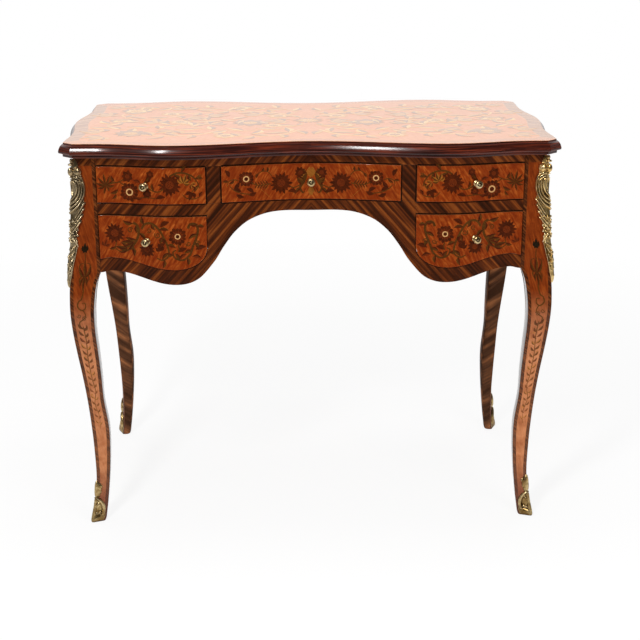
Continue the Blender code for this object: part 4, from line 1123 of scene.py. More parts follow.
def drawDesign(rows, at=lambda u, v: (u, v)):
    made = []
    for shape, *values in rows:
        if shape in (ribbon, leafyVine):
            made += shape([at(*p) for p in values[0]], *values[1:])
        elif shape in (leaf, spray):  # the third value is an angle in degrees
            made += shape(*at(*values[:2]), math.radians(values[2]), *values[3:])
        else:
            made += shape(*at(*values[:2]), *values[2:])
    return made


def addInlay(name, patches, place, body, kinds):
    verts, faces, faceMats, laid = [], [], [], []
    for points, cells, wood, layer in patches:
        base, count = len(verts), len(points)
        left, right = min(p.x for p in points), max(p.x for p in points)
        low, high = min(p.y for p in points), max(p.y for p in points)
        taken = {s[5] for s in laid if s[0] == layer and s[1] < right and s[2] > left and s[3] < high and s[4] > low}
        level = next(k for k in range(len(taken) + 1) if k not in taken)  # patches that may overlap never share a plane
        laid.append((layer, left, right, low, high, level))
        top = sheet["lift"] + layer * sheet["layer"] + level * sheet["level"]
        verts += [place(p.x, p.y, top) for p in points] + [place(p.x, p.y, -sheet["sink"]) for p in points]
        rim = set()
        for cell in cells:
            faces.append([base + i for i in cell])
            faces.append([base + count + i for i in reversed(cell)])
            rim.update(zip(cell, cell[1:] + cell[:1]))
            faceMats += [wood, wood]
        for a, b in rim:
            if (b, a) not in rim:
                faces.append([base + b, base + a, base + count + a, base + count + b])
                faceMats.append(wood)
    addPiece(name, verts, faces, kinds, body=body, faceMats=faceMats, sharp=30)


upperDesign = (  # shape, place as shares of the field, then what the shape takes
    (spray, .085, .48, 100, .024, 7, 3.4, (0, 2), .20), (spray, .085, .46, 255, .017, 3, 1.5, (0, 2), .24),
    (ribbon, ((.085, .48), (.15, .56), (.21, .60), (.285, .76)), taper(.0024, .0018), 2),
    (daisy, .29, .78, .0125, 7, (0, 0, 1, 0)), (leaf, .34, .66, -20, .016, .006, (0, 1)),
    (ribbon, ((.21, .60), (.26, .50), (.30, .40)), taper(.0020, .0018), 2),
    (ringFlower, .304, .29, .0192, .0070), (leaf, .20, .36, 205, .018, .007),
    (leaf, .17, .60, 120, .014, .006), (leaf, .18, .22, 230, .013, .005, (2, 0)),
    (leaf, .43, .56, 66, .026, .009, (0, 0), -.25), (leaf, .455, .62, 35, .020, .007, (0, 2), .2),
    (daisy, .50, .86, .0082, 6, (0, 0, 1, 0)), (daisy, .468, .25, .0100, 7, (0, 0, 1, 0)),
    (ribbon, ((.47, .44), (.53, .34), (.58, .33), (.62, .42)), taper(.0026, .0020), 2),
    (leaf, .53, .35, 100, .015, .006), (leaf, .545, .11, 8, .019, .008, (0, 0)),
    (leaf, .42, .10, 165, .016, .006, (0, 1)),
    (ribbon, ((.40, .12), (.46, .14), (.55, .11)), taper(.0014, .0016), 2), (daisy, .676, .54, .0232, 15),
    (leafyVine, ((.685, .82), (.74, .91), (.81, .91), (.885, .80), (.93, .60), (.945, .42)), .0036, 2, .014, .016,
        (2, 0)),
    (spray, .80, .60, 70, .018, 5, 2.6, (3, 2), .36), (spray, .87, .56, -40, .014, 3, 1.4, (3, 0), .36),
    (spray, .875, .30, 250, .017, 3, 1.7, (0, 0), .44),
    (ribbon, ((.885, .56), (.895, .42), (.875, .30)), taper(.0018, .0016), 2),
    (ribbon, ((.79, .24), (.83, .12), (.90, .10), (.95, .16)), ((0, .0012), (.5, .0022), (1, .0012)), 2),
    (leaf, .945, .14, 60, .013, .006, (0, 1)), (curl, .955, .76, .0052, 1.0, 1.2, .0017, 2),
)
lowerDesign = (
    (daisy, .147, .70, .0212, 15),
    (leafyVine, ((.325, .915), (.36, .87), (.375, .76), (.36, .62), (.315, .47), (.255, .36), (.20, .33)), .0052, 2,
        .015, .018, (2, 0)),
    (spray, .32, .52, 190, .025, 4, 1.5, (2, 0), .30), (spray, .26, .40, 170, .024, 3, 1.2, (0, 2), .28),
    (spray, .05, .44, 70, .015, 3, 1.5, (0, 1), .34),
    (ribbon, ((.16, .52), (.15, .40), (.20, .33)), taper(.0020, .0022), 2),
    (leaf, .155, .44, 200, .015, .006), (leaf, .325, .90, 165, .022, .008),
    (curl, .295, .77, .0058, .5, 1.2, .0020, 2), (daisy, .447, .40, .0165, 12, (0, 0, 1, 0)),
    (leafyVine, ((.40, .80), (.435, .90), (.495, .915), (.555, .82), (.605, .64), (.64, .46), (.645, .29), (.59, .20),
        (.535, .24)), .0046, 2, .016, .017, (2, 0), -1),
    (leaf, .575, .85, 30, .021, .009, (0, 0)), (curl, .548, .69, .0062, 2.5, 1.3, .0020, 2),
    (curl, .47, .78, .0050, 4.0, 1.2, .0018, 2), (spray, .575, .38, 110, .017, 3, 1.3, (0, 0), .40),
    (spray, .612, .52, 150, .016, 2, 1.2, (0, 0), .44), (ringFlower, .733, .665, .0182, .0057),
    (leafyVine, ((.83, .82), (.85, .90), (.895, .90), (.92, .80), (.905, .64), (.87, .46), (.84, .30), (.775, .20),
        (.705, .24), (.685, .35), (.715, .40)), .0048, 2, .016, .017, (2, 0)),
    (leaf, .895, .40, 15, .021, .009, (0, 0)), (leaf, .86, .27, -15, .019, .008, (0, 1)),
    (leaf, .73, .36, 20, .019, .009, (0, 0)), (curl, .91, .52, .0058, .2, 1.3, .0020, 2),
    (curl, .83, .52, .0050, 3.0, 1.3, .0018, 2),
    (ribbon, ((.735, .50), (.745, .42), (.73, .36)), taper(.0022, .0018), 2),
    (leaf, .745, .22, 35, .017, .007, (0, 1)),
)


def middleDesign():
    rows = [
        (ringFlower, .744, .64, .0158, .0060, 12), (daisy, .345, .46, .0225, 15),
        (daisy, .122, .78, .0125, 9, (0, 0, 1, 0)),
        (ribbon, ((.085, .90), (.060, .72), (.085, .50), (.125, .30), (.095, .14), (.07, .19)),
            ((0, .0020), (.3, .0056), (.65, .0042), (1, .0012)), 2),
        (ribbon, ((.265, .40), (.21, .31), (.15, .36), (.10, .46)), taper(.0020, .0024), 2),
        (leaf, .21, .32, 245, .015, .006), (leaf, .155, .16, 6, .020, .0075, (0, 0)),
        (curl, .135, .55, .0055, 2.0, 1.2, .0019, 2), (leaf, .11, .36, 60, .019, .0085, (2, 0)),
        (leaf, .075, .56, 30, .018, .0085, (2, 0)), (leaf, .12, .30, -50, .014, .007, (2, 0)),
        (leaf, .016, .96, -97, .021, .010, (3, 3)), (leaf, .016, .05, 97, .020, .010, (3, 3)),
        (leaf, .062, .74, -60, .016, .007, (3, 2)),
        (ribbon, ((.69, .52), (.62, .43), (.54, .43), (.46, .46)), taper(.0020, .0020), 2),
    ]
    for k in range(5):  # feathery leaf between the two flowers
        u, size = between(.480, .612, k / 4), between(.0135, .0085, k / 4)
        rows += [(leaf, u, .43, 52, size, .0027, (2, 0), -.08),
            (leaf, u + .006, .43, -52, size * .95, .0027, (0, 2), .08)]
    rows += [
        (ribbon, ((.45, .70), (.50, .84), (.57, .85), (.63, .72)), taper(.0014, .0018), 2),
        (leaf, .50, .83, 85, .010, .005), (leaf, .57, .84, 120, .010, .005),
        (leaf, .60, .80, -60, .011, .005),
        (leafyVine, ((.835, .60), (.89, .64), (.945, .58), (.955, .42)), .0020, 2, .012, .013, (0, 2)),
    ]
    for u, v, turn in ((.935, .72, 60), (.885, .36, 130), (.80, .24, 20), (.725, .14, 165), (.86, .17, 200),
            (.66, .20, 30)):
        rows.append((leaf, u, v, turn, .017, .0078, (0, 0)))
    return rows + [  # the last line is a seam of the veneer sheets
        (ribbon, ((.93, .44), (.88, .30), (.80, .20), (.70, .15)), taper(.0018, .0018), 2),
        (ribbon, ((.58, .30), (.53, .17), (.48, .04)), taper(.0005, .0006), 3),
    ]


def frontPlace(x, z, lift):
    normal = Vector((-faceSlope(x), -1, 0)).normalized()
    return Vector((x, -faceDepth(x) - desk["proud"] - drawerLook["skin"], z)) + normal * lift


def makeDrawerInlay():
    reveal, inset = desk["reveal"], drawerLook["inset"]
    for name, spec in drawers.items():
        high = spec["high"] - reveal - inset
        low = desk["lobeZ"] + reveal if spec["low"] is None else spec["low"] + reveal + inset
        if spec["side"] == 0:
            reach = drawerSpan(spec)[1] - inset
            patches = bothWays(drawDesign(middleDesign(), lambda u, v: (u * reach, between(low, high, v))))
        else:
            outer, inner = -(desk["postInnerX"] - reveal), -(desk["dividerOuterX"] + reveal)
            rows = lowerDesign if spec["low"] is None else upperDesign
            patches = drawDesign(rows, lambda u, v: (between(outer, inner, u), between(low, high, v)))
            if spec["side"] > 0:
                patches = mirrored(patches)
        addInlay(name + "_marquetry", patches, frontPlace, name, inlayWoods)


fieldLook = {  # veneer fields of the ends and the back, each with a dark string round it
    "skin": .0004, "sunk": .0006, "soften": .0002, "string": .0022, "stringSkin": .6, "spacing": .004,
    "origin": (0, 0, .6), "topGap": .020, "endSpan": (-.186, .186), "endRise": .028, "backRise": .030,
    "middleLow": .690,
    "backSpans": {"back_left": (-.392, -.215), "back_middle": (-.165, .165), "back_right": (.215, .392)},
    "middleReach": .158, "middleInset": .004, "sideReach": (-.386, -.221), "sideLow": .565, "sideInset": .006,
}
endDesign = (
    (daisy, 0, .660, .026, 16), (ringFlower, 0, .600, .017, .0064),
)
endHalfDesign = (
    (leafyVine, ((.010, .640), (.050, .610), (.100, .625), (.120, .670), (.090, .705), (.060, .685), (.075, .660)),
        .0036, 2, .019, .018, (2, 0)),
    (leafyVine, ((.012, .680), (.040, .715), (.080, .722)), .0030, 2, .018, .016, (2, 0), -1),
    (leafyVine, ((.060, .612), (.100, .588), (.140, .592), (.162, .620)), .0030, 2, .018, .016, (2, 0)),
    (daisy, .140, .690, .019, 14), (ringFlower, .078, .655, .0150, .0060), (daisy, .160, .632, .012, 9),
    (spray, .120, .712, 20, .018, 4, 1.6, (3, 2), .34), (spray, .165, .585, 40, .017, 4, 1.8, (0, 0), .36),
    (spray, .030, .575, 10, .018, 3, 1.2, (0, 2), .34),
)


def sideField(name, place, span, low, high):
    for label, inset, skin, kind in (("_string", 0.0, fieldLook["stringSkin"], "stringDark"),
            ("_field", fieldLook["string"], 1.0, "tulipEnd")):
        out, sunk = fieldLook["skin"] * skin, -fieldLook["sunk"]
        rings = []
        for s in stations(span[0] + inset, span[1] - inset, fieldLook["spacing"]):
            a, b = low(s) + inset, high - inset
            rings.append([place(s, a, out), place(s, b, out), place(s, b, sunk), place(s, a, sunk)])
        verts, faces, tags = loftMesh(rings)
        addPiece(name + label, verts, faces, (kind,), soften=fieldLook["soften"],
            origin=fieldLook["origin"])


def makeOuterFields():
    top, skin = desk["topUnderside"] - fieldLook["topGap"], fieldLook["skin"]

    def backPlace(x, z, lift):
        normal = Vector((-faceSlope(x), 1, 0)).normalized()
        return Vector((x, faceDepth(x), z)) + normal * lift

    for name, side in sides.items():
        def endPlace(y, z, lift, side=side):
            return Vector((side * (endReach(y) + lift), y, z))

        sideField("end_" + name, endPlace, fieldLook["endSpan"], lambda y: endEdge(y) + fieldLook["endRise"], top)
        patches = drawDesign(endDesign) + bothWays(drawDesign(endHalfDesign))
        addInlay("end_marquetry_" + name, patches, lambda y, z, lift: endPlace(y, z, lift + skin), "carcase",
            inlayWoods)
    for name, span in fieldLook["backSpans"].items():
        def backLow(x, name=name):
            return fieldLook["middleLow"] if name == "back_middle" else apronEdge(x) + fieldLook["backRise"]

        sideField(name, backPlace, span, backLow, top)
    for name in fieldLook["backSpans"]:
        if name == "back_middle":
            low, high = fieldLook["middleLow"] + fieldLook["middleInset"], top - fieldLook["middleInset"]
            patches = drawDesign(
                middleDesign(), lambda u, v: (u * fieldLook["middleReach"], between(low, high, v)))
            patches = bothWays(patches)
        else:
            low, high = fieldLook["sideLow"], top - fieldLook["sideInset"]
            patches = drawDesign(lowerDesign, lambda u, v: (between(*fieldLook["sideReach"], u), between(low, high, v)))
            patches = patches if name == "back_left" else mirrored(patches)
        addInlay(name + "_marquetry", patches, lambda x, z, lift: backPlace(x, z, lift + skin), "carcase", inlayWoods)


topDesign = {
    "vineWidth": .0075, "leafEvery": .024, "leafSize": .046, "sprayLength": .050, "largeFlower": .033,
    "heart": .036, "heartLeaves": 8, "heartReach": .040,
    "vines": (
        ((.015, -.055), (.075, -.115), (.165, -.125), (.235, -.070), (.215, .005), (.150, .020), (.120, -.025)),
        ((.015, .050), (.080, .115), (.170, .135), (.250, .105), (.300, .045), (.360, .035), (.395, .085),
            (.370, .140)),
        ((.225, -.060), (.285, -.040), (.330, -.080), (.385, -.095), (.410, -.040), (.385, .005)),
        ((.180, -.125), (.230, -.175), (.300, -.180), (.350, -.150)),
        ((.160, .135), (.215, .190), (.290, .195), (.345, .175)),
        ((.020, -.120), (.055, -.175), (.110, -.195), (.160, -.185)),
        ((.020, .120), (.055, .170), (.100, .185), (.140, .175)),
    ),
    "flowers": (  # place and radius
        (.120, -.028, .044), (.370, .145, .040), (.385, .008, .034), (.352, -.150, .040), (.350, .188, .026),
        (.165, -.186, .030), (.145, .180, .030), (.062, .062, .030), (.072, -.064, .028), (.290, .100, .028),
        (.265, -.010, .028)),
    "sprays": (  # place and angle
        (.250, .040, 200), (.310, -.020, 60), (.412, -.130, 30), (.417, .090, 20), (.200, -.050, 100), (.265, .160, 80),
        (.100, .080, 40), (.270, -.120, 300), (.400, .190, 60), (.402, -.190, -40), (.050, -.010, 0),
        (.210, .070, 160)),
}


def makeTopInlay():
    width, every, size = topDesign["vineWidth"], topDesign["leafEvery"], topDesign["leafSize"]
    rows = []
    for i, line in enumerate(topDesign["vines"]):
        wood, colours, start = (2, (1, 0), 1) if i % 2 else (1, (0, 2), -1)
        rows.append((leafyVine, line, width, wood, every, size, colours, start))
    for x, y, radius in topDesign["flowers"]:
        large = (0, 0, 1, 2) if y < 0 else (0, 2, 1, 2)
        rows.append((daisy, x, y, radius, 10, large if radius > topDesign["largeFlower"] else (1, 2, 0, 2)))
    for x, y, angle in topDesign["sprays"]:
        rows.append((spray, x, y, angle, topDesign["sprayLength"], 4, 2.0, (0, 1), .44))
    patches = bothWays(drawDesign(rows)) + daisy(0, 0, topDesign["heart"], 16, (0, 1, 2, 0))
    for k in range(topDesign["heartLeaves"]):
        angle, reach = math.radians(22.5 + 45 * k), topDesign["heartReach"]
        patches += leaf(reach * math.cos(angle), reach * math.sin(angle), angle, .030, .012, (1, 0))
    addInlay("top_marquetry", patches, lambda x, y, lift: Vector((x, y, desk["height"] + lift)), "carcase", topWoods)


def legPlace(side, facing, swap):
    shift = desk["postReach"] - desk["postDepth"]

    def place(u, z, lift):
        ring = legRing(max(z, 0.0))
        a, b = ring[0], ring[1]
        way = (b - a).normalized()
        out = Vector((-way.y, way.x)) if way.x > 0 else Vector((way.y, -way.x))
        p = (a + b) / 2 + way * u + out * lift
        if swap:
            p = Vector((p.y + shift, p.x - shift))
        return Vector((side * p.x, facing * p.y, z))

    return place


garland = {"pairs": 16, "top": .422, "spacing": .0138, "longest": .0165, "shortest": .0105, "splay": 38, "slim": .32}


def legDesign():
    rows = [
        (spray, 0, .577, 90, .020, 3, .60, (4, 4), .29), (spray, 0, .580, 270, .008, 2, 1.5, (4, 4), .38),
        (ribbon, ((0, .577), (.001, .562), (0, .548)), taper(.0016, .0018), 2),
        (spray, 0, .526, 90, .034, 3, .8, (2, 0), .20), (spray, 0, .530, 270, .028, 3, .55, (0, 2), .17),
    ]
    for sign in (1, -1):
        points = [(sign * u, z) for u, z in ((.003, .556), (.0095, .553), (.0105, .543), (.006, .534), (.009, .524),
            (.007, .517))]
        rows.append((ribbon, points, ((0, .0012), (.5, .0024), (1, .0012)), 2))
    rows += [
        (ribbon, ((0, .520), (.0015, .500), (-.001, .486), (-.007, .480), (-.008, .470), (0, .463), (.007, .468),
            (.006, .477), (0, .477)), ((0, .0018), (.5, .0028), (1, .0014)), 2),
        (ribbon, ((.002, .464), (.007, .452), (.001, .444), (-.006, .438), (-.004, .428), (.004, .426), (.007, .433)),
            ((0, .0018), (.5, .0026), (1, .0012)), 2),
        (curl, .004, .446, .0048, .4, 1.2, .0017, 2), (curl, -.006, .452, .0044, 3.0, 1.2, .0016, 2),
        (ribbon, ((0, .43), (.002, .40), (-.001, .36), (0, .315), (.003, .288), (-.002, .260), (.002, .234), (0, .205)),
            ((0, .0020), (.6, .0016), (1, .0008)), 2, 0, 10),
    ]
    for k in range(garland["pairs"]):  # paired leaves, smaller towards the foot
        z = garland["top"] - garland["spacing"] * k
        size = between(garland["longest"], garland["shortest"], k / (garland["pairs"] - 1))
        kinds = ((2, 0), (0, 2), (0, 1), (2, 3))[k % 4]
        for sign in (1, -1):
            length, turn = size * (1 if sign > 0 else .86), 90 + sign * garland["splay"]
            rows.append((leaf, sign * .0003, z + sign * .0016, turn, length, size * garland["slim"], kinds[::sign],
                sign * .14, 1))
        if k % 3 == 1:
            rows.append((dot, (.42 if k % 2 else -.42) * size, z - .0024, .0018, 3, 1, 9))
    return rows


def makeLegInlay():
    patches = drawDesign(legDesign())
    for corner, facing, side in corners:
        for face, swap in (("face", False), ("flank", True)):
            addInlay("leg_inlay_" + corner + "_" + face, patches, legPlace(side, facing, swap), "carcase", legWoods)


makeDrawerInlay()
makeTopInlay()
makeOuterFields()
makeLegInlay()
print("marquetry laid")

mount = {
    "top": .759, "bottom": .510, "voxel": .0006, "blend": .010, "plate": .0012,
    "skin": .0008, "rings": 60, "fullness": 1.1,
    "rows": (  # height, reach along the face and lift of the ground at the arris, millimetres
        (.510, 1.5, .8), (.520, 2.6, 2.0), (.540, 4.6, 1.9), (.560, 7.6, 1.0), (.580, 10.5, .9), (.592, 12.4, 1.4),
        (.600, 11.6, 2.0), (.620, 11.2, 3.8), (.640, 13.0, 7.4), (.650, 15.0, 8.2), (.660, 17.0, 8.4),
        (.672, 19.2, 7.4), (.680, 18.4, 5.6), (.690, 17.6, 3.4),
        (.700, 17.4, 4.0), (.712, 16.2, 5.0), (.722, 12.5, 6.0), (.735, 11.5, 6.0), (.748, 8.5, 5.0), (.759, 4.0, 2.5)),
    "shellOuter": ((.0053, .7262), (.0150, .7205), (.0178, .7030), (.0152, .6850), (.0050, .6660), (-.0055, .6490)),
    "shellInner": ((.0010, .7165), (.0048, .7110), (.0042, .6970), (-.0005, .6820), (-.0060, .6720), (-.0120, .6640)),
    "shellRows": ((0, .0011, .0024), (.2, .0019, .0048), (.6, .0020, .0052), (.9, .0014, .0038), (1, .0006, .0012)),
    "lobes": ((.0204, .6755), (.0192, .6640), (.0176, .6520), (.0156, .6400)),
    "lobeLine": ((0, 0), (.0032, .0030), (.0078, .0105), (.0125, .0195), (.0160, .0290)),
    "lobeRows": ((0, .0006, .0018), (.18, .0021, .0050), (.5, .0022, .0054), (.85, .0013, .0032), (1, .0005, .0008)),
    "lobeTips": ((0, .0006, .0014), (.4, .0020, .0038), (1, .0012, .0020)),
}


def cornerPoint(w, z, lift):
    ring = legRing(max(z, 0.0))
    arris, front, side = ring[0], ring[1], ring[4]
    f, s = (front - arris).normalized(), (side - arris).normalized()
    nf = Vector((f.y, -f.x)) if Vector((f.y, -f.x)).y > 0 else Vector((-f.y, f.x))
    ns = Vector((s.y, -s.x)) if Vector((s.y, -s.x)).x > 0 else Vector((-s.y, s.x))
    share = ease(.5 + w / (2 * mount["blend"]))
    normal = (nf * share + ns * (1 - share)).normalized()
    base = arris + (f * w if w >= 0 else s * -w)
    p = base + normal * lift
    return Vector((p.x, p.y, z))


def mountReach(z):
    return curveThrough(mount["rows"], z, 1) * .001


def mountLift(w, z):
    fall = max(1 - abs(w) / max(mountReach(z), .002), 0.0)
    return curveThrough(mount["rows"], z, 2) * .001 * fall ** mount["fullness"] + mount["skin"]


class Casting:
    def __init__(self, lift):
        self.verts, self.faces, self.lift = [], [], lift

    def point(self, w, z, extra):
        return cornerPoint(w, z, self.lift(w, z) + extra)

    def rings(self, rings):
        verts, faces, tags = loftMesh(rings)
        base = len(self.verts)
        self.verts += verts
        self.faces += [tuple(base + i for i in face) for face in faces]

    def strand(self, points, rows, both=True, sink=.002, steps=6):
        for sign in ((1, -1) if both else (1,)):
            path = pathAlong([(sign * w, z) for w, z in points], steps)
            last, rings = len(path) - 1, []
            for i, at in enumerate(path):
                turn = crosswise((path[min(i + 1, last)] - path[max(i - 1, 0)]).normalized())
                half, relief = curveThrough(rows, i / last, 1), curveThrough(rows, i / last, 2)
                angles = [math.pi * k / 8 for k in range(9)]
                section = [(math.cos(a), relief * math.sin(a)) for a in angles] + [(o, -sink) for o in (-1, 0, 1)]
                spots = [(at + turn * (o * half), lift) for o, lift in section]
                rings.append([self.point(spot.x, spot.y, lift) for spot, lift in spots])
            self.rings(rings)

    def bead(self, w, z, radius, tall, out, extra=0.0, lobes=0):
        centre = self.point(w, z, extra)
        normal = (self.point(w, z, extra + .01) - centre).normalized()
        across = normal.cross(Vector((0, 0, 1))).normalized()
        count = 48 if lobes else 18
        rings = []
        for i in range(1, 16):
            a = math.pi * i / 16
            ring = []
            for k in range(count):
                b = 2 * math.pi * k / count
                size = math.sin(a) * (1 - .16 * (1 - abs(math.cos(lobes * b / 2))) if lobes else 1)
                around = across * (radius * math.cos(b)) + normal * (out * math.sin(b))
                ring.append(centre + Vector((0, 0, tall * math.cos(a))) + around * size)
            rings.append(ring)
        self.rings(rings)

    def make(self, voxel, smooth=2):
        mesh = meshFrom("castingRough", self.verts, self.faces)
        rough = addObject("castingRough", mesh)
        fuse = rough.modifiers.new("fuse", "REMESH")
        fuse.mode, fuse.voxel_size = "VOXEL", voxel
        soft = rough.modifiers.new("soft", "SMOOTH")
        soft.factor, soft.iterations = .5, smooth
        done = bpy.data.meshes.new_from_object(rough.evaluated_get(bpy.context.evaluated_depsgraph_get()))
        verts = [tuple(v.co) for v in done.vertices]
        faces = [tuple(p.vertices) for p in done.polygons]
        bpy.data.objects.remove(rough)
        bpy.data.meshes.remove(done)
        bpy.data.meshes.remove(mesh)
        return verts, faces


def castCornerMount():
    cast = Casting(mountLift)
    rings = []
    for i in range(mount["rings"] + 1):
        z = between(mount["top"], mount["bottom"], i / mount["rings"])
        reach = mountReach(z) * .9
        ring = [cast.point(reach * (k / 6), z, 0) for k in range(6, -7, -1)]
        rings.append(ring + [cornerPoint(reach * (k / 6), z, -mount["plate"]) for k in range(-6, 7)])
    cast.rings(rings)
    cast.bead(0, .7555, .0032, .0045, .0032, .0010)
    cast.bead(0, .7485, .0052, .0026, .0050, .0015)
    for w in (-.0068, .0068):  # a gadrooned boss on each face, a rib between them
        cast.bead(w, .7350, .0080, .0088, .0086, -.0010, 9)
    cast.bead(0, .7350, .0050, .0085, .0060, .0010)
    for k in range(9):  # beaded collar under the boss
        cast.bead(.0125 * (k / 4 - 1), .7245 + .0030 * (k / 4 - 1) ** 2, .0017, .0020, .0024, .0014)
    for k in range(4):  # fluted shell sweeping down across the corner
        pairs = zip(mount["shellOuter"], mount["shellInner"])
        line = [(between(a[0], b[0], k / 3), between(a[1], b[1], k / 3)) for a, b in pairs]
        cast.strand(line, mount["shellRows"], False)
        cast.strand([(-w, z) for w, z in line[:4]], mount["shellRows"], False)
    cast.strand(((.0125, .7215), (.0165, .7170), (.0140, .7120), (.0100, .7135), (.0105, .7175)),
        ((0, .0014, .004), (.6, .0019, .0048), (1, .0012, .0036)))
    for w, z in mount["lobes"]:  # leaf of slanting lobes
        line = [(w - across, z - down) for across, down in mount["lobeLine"]]
        cast.strand(line, mount["lobeRows"], False)
        cast.strand([(-a, b) for a, b in line[:3]], mount["lobeTips"], False)
    for row in range(8):  # pebbled ground between the lobes and the stem
        for k in range(4):
            w, z = .0046 * (k - 1.5) + (.0023 if row % 2 else 0) + .0002 * row, .6400 - .0056 * row
            cast.bead(w, z, .0020 + .0003 * ((row + k) % 3), .0026, .0024, .0014)
    cast.strand(((.0040, .6060), (.0095, .5985), (.0142, .5895)),
        ((0, .0018, .0022), (.5, .0022, .0028), (1, .0005, .0006)))
    cast.strand(((.0122, .5890), (.0102, .5750), (.0066, .5560), (.0034, .5360), (.0008, .5130)),
        ((0, .0014, .0026), (.5, .0016, .0034), (1, .0008, .0016)))
    for k in range(5):  # nicked leaf down the stem
        z = .5880 - .0125 * k
        reach = mountReach(z)
        cast.strand(((.0014, z - .0060), (reach * .42, z - .0020), (reach * .80, z + .0040)),
            ((0, .0007, .0010), (.5, .0014, .0028), (1, .0006, .0010)))
    cast.strand(((0, .5780), (0, .5550), (0, .5330), (0, .5115)),
        ((0, .0012, .0020), (.4, .0019, .0032), (.8, .0017, .0030), (1, .0006, .0010)), False)
    for k in range(4):
        cast.bead(0, .5700 - .0150 * k, .0026 - .0003 * k, .0044, .0024, .0010)
    return cast.make(mount["voxel"])


sabot = {
    "foot": .0004, "top": .0895, "spacing": .0015, "skin": .0004, "face": .0007, "plate": .0012, "voxel": .0008,
    "rows": (  # height, reach along the face in millimetres
        (0, 21.0), (.006, 24.0), (.016, 24.6), (.026, 22.6), (.034, 19.5), (.041, 15.0), (.047, 10.0), (.0505, 6.4),
        (.054, 8.0), (.060, 10.4), (.066, 10.0), (.072, 12.0), (.078, 11.4), (.084, 8.0), (.0895, 2.0)),
    "rib": (((0, .012), (0, .030), (0, .050)), ((0, .0050, .0046), (.5, .0036, .0034), (1, .0024, .0024)), False),
    "scroll": (
        ((.0022, .0525), (.0085, .0478), (.0142, .0405), (.0182, .0315), (.0198, .0220), (.0186, .0135)),
        ((0, .0016, .0030), (.25, .0032, .0054), (.6, .0040, .0058), (1, .0034, .0036))),
    "eye": (
        ((.0048, .0200), (.0095, .0195), (.0140, .0215)),
        ((0, .0030, .0034), (.5, .0036, .0038), (1, .0026, .0034))),
    "leaf": (
        ((.0008, .0880), (.0040, .0800), (.0058, .0720), (.0050, .0640), (.0030, .0555)),
        ((0, .0012, .0014), (.25, .0044, .0036), (.5, .0054, .0044), (.75, .0048, .0042), (1, .0020, .0024))),
    "lobes": (  # of the upper leaf, then crumbs over the eye of the scroll
        (.0102, .0765, .0026, .0048), (.0094, .0655, .0024, .0040), (.0066, .0580, .0020, .0034),
        (.0084, .0425, .0025, .0034), (.0060, .0388, .0018, .0026)),
}


def castSabot():
    cast = Casting(lambda w, z: sabot["skin"])
    rings = []
    for z in stations(sabot["foot"], sabot["top"], sabot["spacing"]):
        reach = curveThrough(sabot["rows"], z, 1) * .001
        ring = [cornerPoint(reach * k / 8, z, sabot["face"]) for k in range(8, -9, -1)]
        rings.append(ring + [cornerPoint(reach * k / 8, z, -sabot["plate"]) for k in range(-8, 9)])
    cast.rings(rings)
    cast.strand(((-.0215, .0085), (-.012, .0082), (0, .0078), (.012, .0082), (.0215, .0085)),
        ((0, .0070, .0014), (.5, .0074, .0046), (1, .0070, .0014)), False, steps=8)  # toe
    for key in ("rib", "scroll", "eye", "leaf"):
        cast.strand(*sabot[key])
    for sign in (1, -1):
        for w, z, radius, tall in sabot["lobes"]:
            cast.bead(sign * w, z, radius, tall, .0026)
    return cast.make(sabot["voxel"])


def makeBronzes():
    castings = {"corner_mount": ("scroll_mount", castCornerMount()), "sabot": ("foot_mount", castSabot())}
    for corner, facing, side in corners:
        for kind, (name, (verts, faces)) in castings.items():
            # left mounts dimmer and greyer than the right: partly patina, partly painted shade and light
            gilt = "giltPale" if kind == "sabot" else ("giltDullShaded" if side < 0 else "giltBrightLit")
            moved = [(side * x, facing * y, max(z, .0002)) for x, y, z in verts]
            addPiece(name + "_" + corner, moved, faces, (gilt,), replaced=(kind + "_" + corner,),
                sharp=60)
        print("bronzes cast for", corner)


makeBronzes()

view = {"place": (-.0555, -2.7643, 1.2199), "yaw": 1.632, "pitch": 17.378, "roll": -.167, "focal": 1330.0,
    "pixels": 640.0, "sensor": 36.0}


def makeCamera():
    yaw, pitch, roll = (math.radians(view[k]) for k in ("yaw", "pitch", "roll"))
    forward = Vector((math.sin(yaw) * math.cos(pitch), math.cos(yaw) * math.cos(pitch), -math.sin(pitch)))
    right = Vector((math.cos(yaw), -math.sin(yaw), 0))
    up = right.cross(forward)
    turned = right * math.cos(roll) + up * math.sin(roll), up * math.cos(roll) - right * math.sin(roll)
    data = bpy.data.cameras.new("photoCamera")
    data.sensor_width, data.lens, data.clip_end = view["sensor"], view["focal"] / view["pixels"] * view["sensor"], 200
    camera = addObject("photoCamera", data)
    axes = Matrix((turned[0], turned[1], -forward)).transposed().to_4x4()
    camera.matrix_world = Matrix.Translation(view["place"]) @ axes
    bpy.context.scene.camera = camera


lamps = {
    "keyPanel": {"place": (-.9, -2.2, 2.45), "aim": (0, 0, .55), "size": (.34, .8), "power": 62},
    "fillPanel": {"place": (1.5, -2.5, 1.2), "aim": (0, 0, .55), "size": (1.2, 1.2), "power": 34},
    "topPanel": {"place": (0, .3, 3.2), "aim": (0, 0, .7), "size": (2.2, 1.4), "power": 44},
}
# mirrored: white behind the desk, dimmer where the sitter would be
sky = {"level": .40, "mirrorRange": (.15, .65, .04, 1.0)}


def seenByEye(tree):
    ray = addNode(tree, "ShaderNodeLightPath").outputs
    return ray["Is Glossy Ray"], calc(tree, "MAXIMUM", ray["Is Camera Ray"], ray["Is Transmission Ray"])


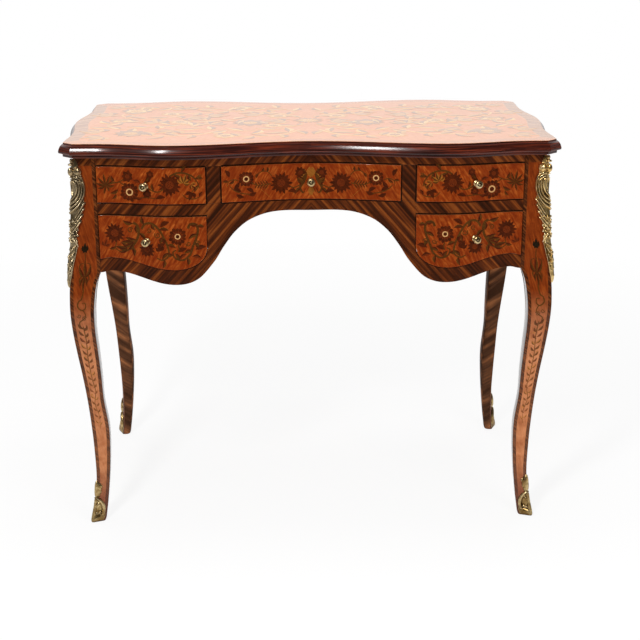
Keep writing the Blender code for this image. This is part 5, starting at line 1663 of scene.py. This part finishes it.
def makeLights():
    for name, spec in lamps.items():
        data = bpy.data.lights.new(name, "AREA")
        data.shape, data.size, data.size_y, data.energy = "RECTANGLE", *spec["size"], spec["power"]
        lamp = addObject(name, data)
        way = Vector(spec["aim"]) - Vector(spec["place"])
        lamp.matrix_world = Matrix.Translation(spec["place"]) @ way.to_track_quat("-Z", "Y").to_matrix().to_4x4()
        lamp.visible_camera, lamp.visible_glossy = False, name == "keyPanel"  # only the key is mirrored in the polish
    world = bpy.data.worlds.new("whiteStudio")
    bpy.context.scene.world = world
    tree = clearTree(world)
    mirrorRay, seen = seenByEye(tree)
    way = addNode(tree, "ShaderNodeSeparateXYZ", {0: addNode(tree, "ShaderNodeTexCoord").outputs["Generated"]}).outputs
    mirrorSky = spread(tree, way[1], *sky["mirrorRange"])
    soft = calc(tree, "MULTIPLY_ADD", mirrorRay, calc(tree, "SUBTRACT", mirrorSky, sky["level"]), sky["level"])
    level = calc(tree, "ADD", calc(tree, "MULTIPLY", soft, calc(tree, "SUBTRACT", 1.0, seen)), seen)
    backdrop = addNode(tree, "ShaderNodeBackground", {"Color": (1, 1, 1, 1), "Strength": level})
    plug(tree, addNode(tree, "ShaderNodeOutputWorld").inputs["Surface"], backdrop.outputs[0])


floorLook = {"reach": 40, "front": -1.6, "grey": (.82, .82, .82, 1), "glossShare": .25, "whiten": (.7, 2.2, .86, 1.0)}


def makeFloor():
    reach, front = floorLook["reach"], floorLook["front"]
    mesh = bpy.data.meshes.new("studioFloor")
    mesh.from_pydata([(-reach, front, 0), (reach, front, 0), (reach, reach, 0), (-reach, reach, 0)], [], [(0, 1, 2, 3)])
    floor = addObject("studioFloor", mesh)
    material, tree, out, place = newMaterial("paleFloor")
    mirrorRay, seen = seenByEye(tree)
    far = addNode(tree, "ShaderNodeVectorMath", {0: place}, operation="LENGTH").outputs["Value"]
    shown = calc(tree, "MULTIPLY", seen, spread(tree, far, *floorLook["whiten"]))  # whiter away from the shadow
    share = calc(tree, "MULTIPLY_ADD", mirrorRay, floorLook["glossShare"], shown)
    plain = addNode(tree, "ShaderNodeBsdfDiffuse", {"Color": floorLook["grey"]})
    white = addNode(tree, "ShaderNodeEmission", {"Color": (1, 1, 1, 1), "Strength": 1.0})
    mix = addNode(tree, "ShaderNodeMixShader", {0: share, 1: plain.outputs[0], 2: white.outputs[0]})
    plug(tree, out.inputs["Surface"], mix.outputs[0])
    mesh.materials.append(material)


makeCamera()
makeLights()
makeFloor()
bpy.context.scene.view_settings.view_transform = "Standard"
print("camera, light and floor set")
